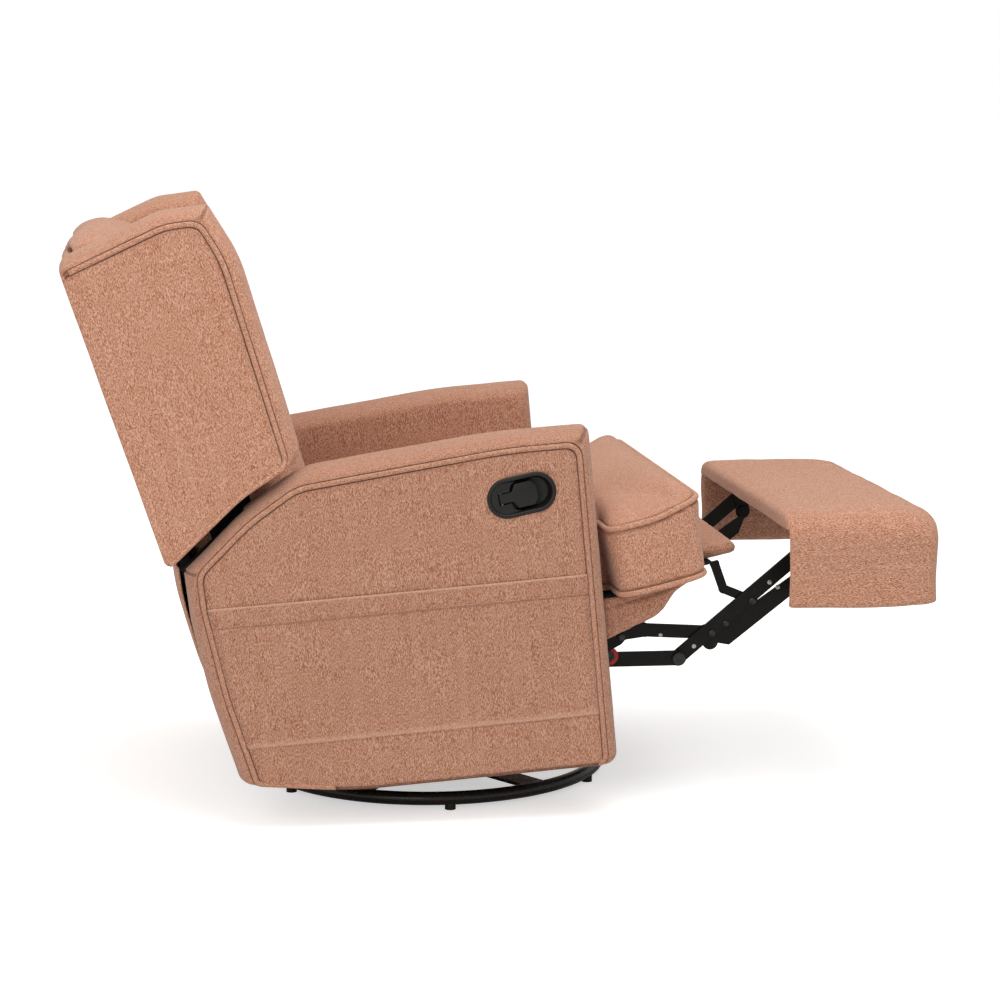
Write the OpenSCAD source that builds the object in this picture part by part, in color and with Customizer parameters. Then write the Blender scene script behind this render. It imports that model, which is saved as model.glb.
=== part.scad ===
// Wing-back swivel glider recliner, shown reclined with its footrest out.
// Millimetres. +X is forward, +Y is the sitter's left, +Z is up, floor at z = 0.

/* [Pose] */
// Pitch of the seat body on its glide rails, nose up, in degrees
body_pitch = 4; // [0:0.5:6]
// Lean of the outside back from the body's upright, in degrees
back_lean = 13; // [6:0.5:18]
// Pitch of the seat cushion relative to the body, nose up, in degrees
seat_pitch = 9; // [4:0.5:12]
// Distance of the swivel axis from the middle of the part's length
swivel_offset = -93; // [-140:1:-40]

/* [Arms] */
// Clear width between the arms
seat_gap_w = 554; // [480:2:620]
// Thickness of one arm
arm_t = 105; // [80:1:140]
// Height of the arm's crown above the body's datum
arm_top_z = 612; // [560:1:660]
// Height of the arm's lower edge above the body's datum
arm_bottom_z = 69; // [60:1:90]
// Place of the arm's front face at its foot
arm_front_x = 269; // [240:1:300]
// Place of the arm's rear corner
arm_rear_x = -391; // [-430:1:-360]
// Rise of the padded roll beyond the flat side panel
arm_roll = 24; // [12:1:32]
// Thickness of the wooden panel inside the arm
arm_board_t = 40; // [20:1:50]
// Thickness of the sewn side pocket
pocket_t = 2; // [1:0.5:4]
// Height of the pocket's hem
pocket_top_z = 382; // [340:1:420]
// Height of the pocket's lower seam
pocket_bottom_z = 156; // [120:1:200]

/* [Back] */
// Height of the wings above the foot of the back
wing_top_h = 711; // [640:1:760]
// Place of the wing's front face
wing_front = 104; // [80:1:120]
// Place of the outside back's rear face
back_rear = -162; // [-175:1:-145]
// Outer half width over the wings
wing_half_w = 374; // [340:1:390]
// Rise of the padded roll on the wing's front and top
wing_roll = 25; // [12:1:32]
// Height of the wing's rear lower corner
wing_foot_h = 176; // [165:1:200]
// Thickness of the outside back panel
back_panel_t = 30; // [20:1:40]
// Thickness of the back frame board
back_board_t = 18; // [12:1:24]
// Thickness of the back cushion at the lumbar
back_cushion_t = 205; // [150:1:225]
// Thickness of the rear flap
flap_t = 6; // [4:1:10]
// Height of the rear flap
flap_h = 217; // [160:1:260]
// Height of the rear flap's lower edge
flap_z = 215; // [180:1:260]

/* [Seat] */
// Thickness of the seat cushion at its border
cushion_t = 121; // [90:1:150]
// Crown of the seat cushion above its border
cushion_crown = 27; // [8:1:36]
// Depth of the seat cushion
cushion_depth = 638; // [580:1:650]
// Depth of the cushion's ears in front of the arms
ear_depth = 150; // [120:1:155]
// Half width over the cushion's ears
ear_half_w = 372; // [330:1:380]
// Place of the cushion's front lower edge
cushion_front_x = 433; // [400:1:460]
// Height of the cushion's front lower edge
cushion_front_z = 353; // [320:1:370]
// Height of the padded border under the cushion's front edge
border_h = 92; // [70:1:110]
// Thickness of the border's side cheeks
cheek_t = 6; // [4:1:10]
// Distance of the front seat rail behind the cushion's front face
rail_setback = 98; // [80:1:120]
// Thickness of the seat deck
deck_t = 6; // [3:1:10]
// Diameter of the seat springs' wire
spring_wire_d = 4; // [3:0.5:5]
// Number of seat springs
spring_count = 5; // [3:1:6]
// Height of the seat's wooden rails
seat_rail_h = 32; // [24:1:40]
// Depth of the seat's wooden rails
seat_rail_w = 32; // [24:1:40]

/* [Footrest] */
// Length of the footrest
footrest_l = 252; // [200:1:280]
// Width of the footrest
footrest_w = 680; // [560:2:700]
// Depth of the footrest's front and side drops
footrest_drop = 152; // [120:1:170]
// Thickness of the drops
drop_t = 14; // [8:1:20]
// Thickness of the foam over the footrest board
footrest_foam_t = 12; // [8:1:20]
// Thickness of the footrest board
footrest_board_t = 11; // [8:1:14]
// Depth of the filler pad between seat and footrest
flipper_l = 68; // [50:1:72]
// Thickness of the filler pad
flipper_t = 20; // [14:1:24]

/* [Linkage] */
// Thickness of a link
link_t = 4; // [3:0.5:4.5]
// Spacing of the link layers
layer_pitch = 5; // [4.6:0.1:6]
// Half width of a link
link_r = 13; // [10:0.5:15]
// Radius of a link pin
pin_r = 5; // [4:0.5:6]
// Radial running clearance at a pin
pin_gap = 0.05; // [0.02:0.01:0.1]
// Radial clearance at the pivots that close a loop
open_gap = 0.7; // [0.5:0.1:1]
// Thickness of the mechanism side plates
side_plate_t = 3; // [2:0.5:4]
// Side of the square torque tube
torque_tube_w = 16; // [12:1:20]

/* [Base] */
// Radius of the base ring
ring_r = 286; // [240:1:320]
// Radius of the ring's tube
ring_tube_r = 11; // [8:0.5:14]
// Height of the feet under the ring
foot_h = 7; // [4:0.5:12]
// Number of feet
foot_count = 6; // [4:1:10]
// Width of the flat cross bars
bar_w = 45; // [30:1:60]
// Thickness of the flat cross bars
bar_t = 5; // [4:0.5:8]
// Angle of the cross bars from the forward direction
bar_angle = 56; // [40:1:60]
// Side of the bearing plates
bearing_w = 150; // [120:2:180]
// Thickness of a bearing plate
bearing_t = 4; // [3:0.5:6]
// Radius of a bearing ball
ball_r = 4; // [3:0.5:5]
// Number of bearing balls
ball_count = 16; // [8:1:24]
// Radius of the ball race
race_r = 48; // [36:1:60]
// Radius of the swivel pin
swivel_pin_r = 8; // [6:0.5:10]

/* [Glide] */
// Distance between the pivots of a swing link
swing_len = 75; // [50:1:90]
// Distance of the link pivots fore and aft of the swivel axis
swing_x = 110; // [90:1:120]
// Height of the lower link pivots above the body's datum
swing_z = 78; // [70:1:85]
// Distance of the glide brackets from the middle
bracket_y = 165; // [140:1:180]
// Thickness of brackets and glide rails
carriage_t = 3; // [2:0.5:4]

/* [Handle] */
// Half length of the oval bezel
bezel_a = 55; // [45:1:60]
// Half height of the oval bezel
bezel_b = 32; // [28:1:40]
// Tilt of the bezel in the body, in degrees
bezel_tilt = 8; // [0:1:15]
// Forward place of the bezel's middle
bezel_x = 138; // [120:1:160]
// Height of the bezel's middle
bezel_z = 516; // [500:1:530]
// Depth of the bezel's cup
bezel_depth = 22; // [14:1:24]
// Thickness of the release paddle
paddle_t = 7; // [5:0.5:9]

/* [Hidden] */
$fn = 48;

// Colours
linen = [0.74, 0.54, 0.44];
linen_dark = [0.66, 0.47, 0.36];
black_steel = [0.11, 0.10, 0.09];
black_plastic = [0.15, 0.14, 0.13];
spring_steel = [0.55, 0.55, 0.56];
pine = [0.78, 0.64, 0.45];
black_cloth = [0.09, 0.09, 0.09];

// Clearances and shared small sizes
body_gap = 0.3;
soft_gap = 1;
over = 1;
left = 1;
right = -1;

// Sideways layers, measured from the middle plane
arm_in_y = seat_gap_w / 2;
arm_out_y = arm_in_y + arm_t;
arm_mid_y = arm_in_y + arm_t / 2;
plate_in_y = arm_in_y - side_plate_t - pin_gap * 2;
bracket_back_y = plate_in_y - side_plate_t - body_gap;
soft_half_w = bracket_back_y - body_gap * 2;
lower_y = soft_half_w - link_t * 1.5;
main_y = lower_y - layer_pitch;
upper_y = main_y - layer_pitch;
front_y = upper_y - layer_pitch;

// Back, in its own frame
back_foot_x = -230;
back_foot_z = 300;
recline_x = -150;
recline_z = 345;
recline_r = 6;
recline_boss_r = 16;
wing_in_y = arm_in_y - 2 * soft_gap;
back_rel = [recline_x - back_foot_x, recline_z - back_foot_z];
recline_u = back_rel[0] * cos(back_lean) + back_rel[1] * sin(back_lean);
recline_w = back_rel[1] * cos(back_lean) - back_rel[0] * sin(back_lean);

// Linkage pivots in the body frame, footrest out
lower_pivot = [248, 218];
knee_pivot = [392, 207];
foot_pivot = [628, 377];
upper_shift = [50, 36];
upper_pivot = lower_pivot + upper_shift;
cross_pivot = knee_pivot + upper_shift;
front_pivot = [448, 226.5];
foot_arm = 30;
foot_arm_pivot = foot_pivot - [0, foot_arm];
flipper_pivot = [521, 289];
// Bends of the filler pad's bracket, measured from its pivot
flipper_elbow = [-46, 23];
flipper_head = [-58, 66];
knee_head_r = 10;
knee_head_t = 4;

// Footrest, level, measured from its pivot
footrest_pitch = body_pitch;
footrest_heel = 61;
footrest_back = -footrest_heel;
footrest_top = 58;
footrest_front = footrest_back + footrest_l;
footrest_bottom = footrest_top - footrest_drop;
board_top = footrest_top - footrest_foam_t;
board_bottom = board_top - footrest_board_t;

// Filler pad, measured in the body frame
flipper_half_w = front_y - 3 * layer_pitch;
flipper_lead = 6;
flipper_back_x = cushion_front_x + flipper_lead;
flipper_z = 356;

// Base heights
ring_z = foot_h + ring_tube_r;
lower_plate_z = ring_z + bar_t / 2;
race_gap = ball_r;
ball_z = lower_plate_z + bearing_t + race_gap / 2;
upper_plate_z = lower_plate_z + bearing_t + race_gap;
carriage_z = upper_plate_z + bearing_t;

// Seat rails in the seat frame
deck_z = -soft_gap - deck_t;
spring_z = deck_z - spring_wire_d - body_gap;
rail_front_s = -rail_setback;
rail_rear_s = 2 * soft_gap - cushion_depth;

// Where a point of the tilted body lies fore and aft and up
function body_point(p) = [
    swivel_offset + p[0] * cos(body_pitch) - p[1] * sin(body_pitch),
    p[0] * sin(body_pitch) + p[1] * cos(body_pitch)];

// Points given as shares of the box between two corners
function in_box(shares, low, high) =
    [for (s = shares) [low[0] + s[0] * (high[0] - low[0]), low[1] + s[1] * (high[1] - low[1])]];

// Plane geometry on closed outlines
function unit(v) = v / norm(v);
function next_i(i, n) = (i + 1) % n;
function prev_i(i, n) = (i + n - 1) % n;
function left_of(v) = [-v[1], v[0]];
function per_edge(d, i) = is_list(d) ? d[i] : d;

// A counter-clockwise outline with each edge moved inwards by its own distance
function inset(pts, d) = let (n = len(pts)) [
    for (i = [0 : n - 1])
        let (h = prev_i(i, n), a = unit(pts[i] - pts[h]), b = unit(pts[next_i(i, n)] - pts[i]),
             p = pts[i] + left_of(a) * per_edge(d, h), q = pts[i] + left_of(b) * per_edge(d, i),
             c = a[0] * b[1] - a[1] * b[0], s = ((q - p)[0] * b[1] - (q - p)[1] * b[0]) / c)
            p + a * s];

// The same outline with its corners rounded by arcs of steps + 1 points
function rounded(pts, r, steps) = let (n = len(pts)) [
    for (i = [0 : n - 1])
        let (a = unit(pts[prev_i(i, n)] - pts[i]), b = unit(pts[next_i(i, n)] - pts[i]),
             half = acos(a * b) / 2, ri = per_edge(r, i), c = pts[i] + unit(a + b) * ri / sin(half),
             from = pts[i] + a * ri / tan(half) - c, to = pts[i] + b * ri / tan(half) - c,
             turn = atan2(from[0] * to[1] - from[1] * to[0], from * to))
            for (k = [0 : steps])
                let (t = turn * k / steps)
                    c + [from[0] * cos(t) - from[1] * sin(t), from[0] * sin(t) + from[1] * cos(t)]];

// Rings of equal count, lofted into one closed solid with a pole at each end
module loft(rings, first_pole, last_pole) {
    n = len(rings[0]);
    m = len(rings);
    points = [first_pole, for (ring = rings) for (p = ring) p, last_pole];
    faces = [
        for (i = [0 : n - 1]) [0, 1 + next_i(i, n), 1 + i],
        for (k = [0 : m - 2]) for (i = [0 : n - 1])
            let (a = 1 + k * n + i, b = 1 + k * n + next_i(i, n)) each [[a, b, b + n], [a, b + n, a + n]],
        for (i = [0 : n - 1]) [1 + m * n, 1 + (m - 1) * n + i, 1 + (m - 1) * n + next_i(i, n)]];
    polyhedron(points, faces);
}

function sum_of(ring, k, i = 0) = i == len(ring) ? 0 : ring[i][k] + sum_of(ring, k, i + 1);
function centre(ring) = [for (k = [0 : 2]) sum_of(ring, k) / len(ring)];

// An upright padded slab: an outline in X and Z whose edges swell between two side faces
slab_steps = 8;
function slab_ring(outline, radii, swell, share, y) =
    [for (p = rounded(inset(outline, swell * (1 - sin(180 * share))), radii, 5)) [p[0], y, p[1]]];
module padded_slab(outline, radii, swell, y_low, y_high) {
    rings = [for (k = [0 : slab_steps])
        let (share = k / slab_steps, y = (y_low + y_high) / 2 - (y_high - y_low) / 2 * cos(180 * share))
            slab_ring(outline, radii, swell, share, y)];
    loft(rings, centre(rings[0]), centre(rings[slab_steps]));
}

// A shape drawn in X and Z, made a plate from y_low to y_high
module plate(y_low, y_high) {
    translate([0, y_high, 0]) rotate([90, 0, 0]) linear_extrude(y_high - y_low) children();
}
module rod(p, r, y_low, y_high) {
    translate([p[0], y_high, p[1]]) rotate([90, 0, 0]) cylinder(r = r, h = y_high - y_low);
}
module disc(p, r) {
    translate(p) circle(r = r);
}
module strip(p, q, r) {
    waist = r * 0.94;
    disc(p, r);
    disc(q, r);
    translate(p) rotate(atan2(q[1] - p[1], q[0] - p[0])) translate([0, -waist])
        square([norm(q - p), 2 * waist]);
}
module on_side(side) {
    if (side == left) children();
    else mirror([0, 1, 0]) children();
}
module in_body() {
    translate([swivel_offset, 0, 0]) rotate([0, -body_pitch, 0]) children();
}
module in_back() {
    in_body() translate([back_foot_x, 0, back_foot_z]) rotate([0, -back_lean, 0]) children();
}
module in_seat() {
    in_body() translate([cushion_front_x, 0, cushion_front_z]) rotate([0, -seat_pitch, 0]) children();
}
module in_footrest() {
    in_body() translate([foot_pivot[0], 0, foot_pivot[1]]) rotate([0, footrest_pitch, 0]) children();
}
module at_swivel() {
    translate([swivel_offset, 0, 0]) children();
}

// Base
module ring_tube() {
    translate([0, 0, ring_z]) rotate_extrude($fn = 96) translate([ring_r, 0]) circle(r = ring_tube_r);
}
module base_ring() {
    color(black_steel) at_swivel() ring_tube();
}
module base_cross_bars() {
    bar_l = 2 * (ring_r - ring_tube_r);
    color(black_steel) at_swivel() difference() {
        for (a = [bar_angle, -bar_angle]) rotate(a)
            translate([-bar_l / 2 - over, -bar_w / 2, ring_z - bar_t / 2]) cube([bar_l + 2 * over, bar_w, bar_t]);
        ring_tube();
        translate([0, 0, ring_z - bar_t]) cylinder(r = swivel_pin_r, h = 2 * bar_t);
    }
}
module base_feet() {
    foot_r = ring_tube_r * 0.8;
    color(black_plastic) at_swivel() difference() {
        for (i = [0 : foot_count - 1]) rotate(360 * (i + 0.5) / foot_count)
            translate([ring_r, 0, 0]) cylinder(r = foot_r, h = ring_z - ring_tube_r / 2);
        ring_tube();
    }
}
module race() {
    translate([0, 0, ball_z]) rotate_extrude() translate([race_r, 0]) circle(r = ball_r + pin_gap);
}
module bearing_lower_plate() {
    color(black_steel) at_swivel() difference() {
        translate([-bearing_w / 2, -bearing_w / 2, lower_plate_z]) cube([bearing_w, bearing_w, bearing_t]);
        race();
        translate([0, 0, lower_plate_z - over]) cylinder(r = swivel_pin_r, h = bearing_t + 2 * over);
    }
}
module bearing_balls() {
    color(spring_steel) at_swivel() for (i = [0 : ball_count - 1])
        rotate(360 * i / ball_count) translate([race_r, 0, ball_z]) sphere(r = ball_r);
}
module swivel_pin() {
    head_h = 6;
    foot_z = ring_z - bar_t / 2;
    head_z = carriage_z + body_gap;
    color(black_steel) at_swivel() {
        translate([0, 0, foot_z]) cylinder(r = swivel_pin_r, h = head_z + head_h - foot_z);
        translate([0, 0, head_z]) cylinder(r = swivel_pin_r * 1.8, h = head_h, $fn = 6);
    }
}
module bearing_upper_plate() {
    color(black_steel) at_swivel() difference() {
        translate([-bearing_w / 2, -bearing_w / 2, upper_plate_z]) cube([bearing_w, bearing_w, bearing_t]);
        race();
        translate([0, 0, upper_plate_z - over]) cylinder(r = swivel_pin_r + pin_gap, h = bearing_t + 2 * over);
    }
}

// Glide carriage: brackets on the swivel, swing links, and rails under the body
washer_t = 2;
swing_y = bracket_y + carriage_t + washer_t;
glide_rail_y = swing_y + link_t + washer_t;
function swing_foot(end) = body_point([end * swing_x, swing_z]);
function swing_head(end) = swing_foot(end) + [0, swing_len];
module glide_bracket(side) {
    boss_r = link_r * 1.4;
    flange_l = bearing_w * 0.87;
    flange_in = swivel_pin_r * 5;
    color(black_steel) on_side(side) {
        plate(bracket_y, bracket_y + carriage_t) {
            strip(swing_head(-1), swing_head(1), boss_r);
            polygon([swing_head(-1), [swivel_offset - flange_l / 2, carriage_z],
                     [swivel_offset + flange_l / 2, carriage_z], swing_head(1)]);
        }
        at_swivel() translate([-flange_l / 2, flange_in, carriage_z])
            cube([flange_l, bracket_y + carriage_t - flange_in, carriage_t]);
        for (end = [-1, 1]) rod(swing_head(end), pin_r, bracket_y, swing_y + link_t + body_gap);
    }
}
module swing_link(side, end) {
    color(black_steel) on_side(side) difference() {
        plate(swing_y, swing_y + link_t) strip(swing_head(end), swing_foot(end), link_r);
        rod(swing_head(end), pin_r + pin_gap, swing_y - over, swing_y + link_t + over);
        rod(swing_foot(end), pin_r + (end > 0 ? pin_gap : open_gap), swing_y - over, swing_y + link_t + over);
    }
}
frame_rail_z = 182;
frame_rail_h = 30;
frame_rail_w = 30;
frame_rail_front_x = 90;
frame_rail_rear_x = -152;
module glide_rail(side) {
    rail_top = frame_rail_z;
    web_r = link_r * 1.2;
    color(black_steel) on_side(side) in_body() {
        plate(glide_rail_y, glide_rail_y + carriage_t) {
            strip([-swing_x, swing_z], [swing_x, swing_z], web_r);
            polygon([[-swing_x - web_r, swing_z], [swing_x + web_r, swing_z],
                     [frame_rail_front_x + frame_rail_w, rail_top], [frame_rail_rear_x, rail_top],
                     [frame_rail_rear_x, rail_top - frame_rail_w]]);
        }
        translate([frame_rail_rear_x, glide_rail_y, rail_top - carriage_t])
            cube([frame_rail_front_x + frame_rail_w - frame_rail_rear_x, frame_rail_w, carriage_t]);
        for (end = [-1, 1])
            rod([end * swing_x, swing_z], pin_r, swing_y - body_gap, glide_rail_y + carriage_t);
    }
}

// Body structure
module frame_rail(x) {
    half = plate_in_y - body_gap;
    color(pine) in_body() translate([x, -half, frame_rail_z]) cube([frame_rail_w, 2 * half, frame_rail_h]);
}
module mechanism_plate(side) {
    neck = recline_boss_r;
    outline = [
        [rear_rail_x - neck, frame_rail_z], [frame_rail_front_x + 2 * frame_rail_w, frame_rail_z],
        lower_pivot + [-neck, -1.5 * link_r], lower_pivot + [link_r, -1.5 * link_r],
        lower_pivot + [link_r, link_r / 2], upper_pivot + [0, -link_r], upper_pivot + [link_r, 0],
        [front_rail_x + seat_rail_w, front_rail_z], [front_rail_x + seat_rail_w, front_rail_z + seat_rail_h],
        upper_pivot + [0, 3.5 * link_r], [recline_x + 5 * neck, recline_z - 5 * neck],
        [recline_x + neck, recline_z], [recline_x - neck, recline_z],
        [rear_rail_x - neck, recline_z - 6 * neck]];
    color(black_steel) on_side(side) in_body() difference() {
        union() {
            plate(plate_in_y, plate_in_y + side_plate_t) {
                polygon(outline);
                disc([recline_x, recline_z], recline_boss_r);
            }
            rod(upper_pivot, pin_r, upper_y - body_gap, plate_in_y + side_plate_t);
            rod(upper_pivot, pin_r * 1.6, upper_y + link_t + body_gap, plate_in_y);
        }
        rod([recline_x, recline_z], recline_r, plate_in_y - over, plate_in_y + side_plate_t + over);
        rod(lower_pivot, pin_r + pin_gap, plate_in_y - over, plate_in_y + side_plate_t + over);
    }
}
function seat_point(s, h) = [
    cushion_front_x + s * cos(seat_pitch) - h * sin(seat_pitch),
    cushion_front_z + s * sin(seat_pitch) + h * cos(seat_pitch)];
front_rail_x = seat_point(rail_front_s, -seat_rail_h)[0];
front_rail_z = seat_point(rail_front_s, deck_z - seat_rail_h)[1];
rear_rail_x = seat_point(rail_rear_s, deck_z)[0];
module seat_rail(s) {
    half = plate_in_y - body_gap;
    slot_h = spring_wire_d + body_gap;
    color(pine) in_seat() translate([s, -half, deck_z - seat_rail_h - slot_h])
        cube([seat_rail_w, 2 * half, seat_rail_h]);
}
module seat_springs() {
    wave_w = 36;
    wave_l = 26;
    run = rail_front_s - rail_rear_s + seat_rail_w - 2 * spring_wire_d;
    waves = floor(run / wave_l);
    step = run / waves;
    first = rail_rear_s + spring_wire_d;
    color(spring_steel) in_seat() for (k = [0 : spring_count - 1])
        translate([first, (k - (spring_count - 1) / 2) * soft_half_w * 1.7 / spring_count, spring_z])
            linear_extrude(spring_wire_d) for (i = [0 : waves - 1]) {
                up = i % 2 == 0 ? 1 : -1;
                strip([i * step, -up * wave_w / 2], [i * step, up * wave_w / 2], spring_wire_d / 2);
                strip([i * step, up * wave_w / 2], [(i + 1) * step, up * wave_w / 2], spring_wire_d / 2);
            }
}
module seat_deck() {
    color(black_cloth) in_seat() translate([rail_rear_s, -soft_half_w, deck_z])
        cube([rail_front_s + seat_rail_w - rail_rear_s, 2 * soft_half_w, deck_t]);
}

// Seat cushion: a T in plan, its front face leaning forward, its top crowned
cushion_lean = 18;
cushion_corner_r = 28;
cushion_inner_r = 8;
module seat_cushion() {
    plan = [[-cushion_depth, -soft_half_w], [-ear_depth, -soft_half_w], [-ear_depth, -ear_half_w],
            [0, -ear_half_w], [0, ear_half_w], [-ear_depth, ear_half_w],
            [-ear_depth, soft_half_w], [-cushion_depth, soft_half_w]];
    radii = [cushion_corner_r, cushion_inner_r, cushion_corner_r, cushion_corner_r,
             cushion_corner_r, cushion_corner_r, cushion_inner_r, cushion_corner_r];
    middle = [-ear_depth * 0.6, 0];
    side_shares = [[0, 0.22], [0.045, 0.03], [0.5, 0.1], [0.955, 0.02], [1, 0.16]];
    crown_shares = [0.93, 0.8, 0.6, 0.35];
    draw_in = cushion_crown;
    side_rings = [for (s = side_shares)
        [for (p = rounded(inset(plan, draw_in * s[1]), radii, 4))
            [p[0] + max(0, 1 + p[0] / ear_depth) * cushion_lean * s[0], p[1], cushion_t * s[0]]]];
    top = side_rings[len(side_rings) - 1];
    crown_rings = [for (s = crown_shares) [for (p = top)
        [middle[0] + (p[0] - middle[0]) * s, p[1] * s, cushion_t + cushion_crown * (1 - s * s)]]];
    color(linen) in_seat() loft(concat(side_rings, crown_rings),
        [middle[0], 0, 0], [middle[0], 0, cushion_t + cushion_crown]);
}

// Padded border under the cushion's front edge, with side cheeks in front of the arms
cheek_inset = 37;
cheek_y = arm_in_y + cheek_inset;
border_back_x = arm_front_x + 2 * soft_gap;
// Lower line of the border from its nose back to the arms, as shares of its box
border_shares = [[1, 1], [0.925, 0.957], [0.72, 0.76], [0.606, 0.467], [0.506, 0.326], [0.344, 0.228], [0, 0]];
module front_border() {
    nose = seat_point(-cheek_t / 2, -soft_gap);
    line = in_box(border_shares, [border_back_x, nose[1] - border_h], nose);
    rail_front = front_rail_x + seat_rail_w + 2 * soft_gap;
    fall = tan(seat_pitch);
    color(linen_dark) in_body() {
        plate(-cheek_y - cheek_t, cheek_y + cheek_t)
            polygon([line[0], line[1], line[2], [rail_front, line[3][1]],
                     [rail_front, nose[1] - (nose[0] - rail_front) * fall]]);
        for (side = [left, right]) on_side(side) plate(cheek_y, cheek_y + cheek_t)
            polygon([each line, [border_back_x, nose[1] - (nose[0] - border_back_x) * fall]]);
    }
}

// Arms
arm_shares = [[1, 0], [0.982, 1], [0.744, 1], [0.2955, 0.9484], [0.1455, 0.838], [0, 0.683],
              [0.005, 0.536], [0.036, 0.306], [0.089, 0.05], [0.365, 0]];
arm_outline = in_box(arm_shares, [arm_rear_x, arm_bottom_z], [arm_front_x, arm_top_z]);
arm_radii = arm_t * [0.15, 0.21, 8.6, 1.2, 3, 0.29, 2, 3, 0.23, 4.8];
board_inset = 55;
pocket_margin = 4;
module arm_board(grow) {
    plate(arm_mid_y - arm_board_t / 2 - grow, arm_mid_y + arm_board_t / 2 + grow)
        polygon(inset(arm_outline, board_inset - grow));
}
// Racetrack oval: two half rounds joined by straight sides
module oval(a, b) {
    polygon([for (end = [1, -1]) for (i = [0 : 24]) let (turn = 180 * i / 24 - 90)
        [end * (a - b + b * cos(turn)), end * b * sin(turn)]]);
}
module at_bezel() {
    translate([bezel_x, 0, bezel_z]) rotate([0, -bezel_tilt, 0]) children();
}
module arm(side) {
    color(linen) on_side(side) in_body() difference() {
        padded_slab(arm_outline, arm_radii, arm_roll, arm_in_y, arm_out_y);
        arm_board(body_gap);
        if (side == right) at_bezel() plate(arm_out_y - bezel_depth - body_gap, arm_out_y + over)
            oval(bezel_a - bezel_rim + bezel_wall + body_gap, bezel_b - bezel_rim + bezel_wall + body_gap);
    }
}
module arm_frame(side) {
    color(pine) on_side(side) in_body() arm_board(0);
}
module side_pocket(side) {
    panel = inset(arm_outline, arm_roll + pocket_margin);
    color(linen_dark) on_side(side) in_body() plate(arm_out_y, arm_out_y + pocket_t) intersection() {
        polygon(panel);
        translate([arm_rear_x, pocket_bottom_z]) square([arm_front_x - arm_rear_x, pocket_top_z - pocket_bottom_z]);
    }
}
// Cloth panel that closes the outside back between the wings and the body's rear edge
flap_run = 45;
flap_lap = 11;
flap_shares = [[0, 1], [0.04, 0.806], [0.24, 0.576], [0.58, 0.253], [1, 0]];
module rear_flap() {
    half = wing_in_y - 4 * soft_gap;
    low = [arm_rear_x - flap_lap, flap_z];
    line = in_box(flap_shares, low, low + [flap_run, flap_h]);
    outline = concat(line, [for (i = [len(line) - 1 : -1 : 0]) line[i] + [flap_t, 0]]);
    color(linen_dark) in_body() plate(-half, half) polygon(outline);
}

// Handle
bezel_rim = 7;
bezel_wall = 2.5;
paddle_hinge_x = -32;
paddle_heel = 3;
paddle_neck = 18;
paddle_chamfer = 7;
paddle_stub_h = 8;
paddle_head_h = 20;
paddle_head_x = 26;
paddle_pin_r = 2;
paddle_pin_lap = 14;
ear_half = 8;
module handle_bezel() {
    color(black_plastic) on_side(right) in_body() at_bezel() difference() {
        union() {
            plate(arm_out_y, arm_out_y + bezel_wall) oval(bezel_a, bezel_b);
            plate(arm_out_y - bezel_depth, arm_out_y)
                oval(bezel_a - bezel_rim + bezel_wall, bezel_b - bezel_rim + bezel_wall);
        }
        difference() {
            plate(arm_out_y - bezel_depth + bezel_wall, arm_out_y + bezel_wall + over)
                oval(bezel_a - bezel_rim, bezel_b - bezel_rim);
            for (end = [-1, 1]) plate(arm_out_y - bezel_depth + bezel_wall, arm_out_y)
                translate([paddle_hinge_x - ear_half, end * (paddle_stub_h + ear_half + body_gap) - ear_half])
                    square(2 * ear_half);
        }
        translate([paddle_hinge_x, arm_out_y - paddle_t / 2 - over, -bezel_b])
            cylinder(r = paddle_pin_r, h = 2 * bezel_b);
    }
}
module release_paddle() {
    neck_x = paddle_hinge_x + paddle_neck;
    half = [[paddle_hinge_x - paddle_heel, paddle_stub_h], [neck_x, paddle_stub_h],
            [neck_x + paddle_chamfer, paddle_head_h], [paddle_head_x - paddle_chamfer, paddle_head_h],
            [paddle_head_x, paddle_head_h - paddle_chamfer]];
    outline = concat([for (p = half) [p[0], -p[1]]], [for (i = [len(half) - 1 : -1 : 0]) half[i]]);
    color(black_plastic) on_side(right) in_body() at_bezel() difference() {
        plate(arm_out_y - paddle_t - over, arm_out_y - over) polygon(outline);
        translate([paddle_hinge_x, arm_out_y - paddle_t / 2 - over, -bezel_b])
            cylinder(r = paddle_pin_r + pin_gap, h = 2 * bezel_b);
    }
}
module paddle_pin() {
    pin_half = paddle_stub_h + paddle_pin_lap;
    color(spring_steel) on_side(right) in_body() at_bezel()
        translate([paddle_hinge_x, arm_out_y - paddle_t / 2 - over, -pin_half])
            cylinder(r = paddle_pin_r, h = 2 * pin_half);
}

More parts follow.
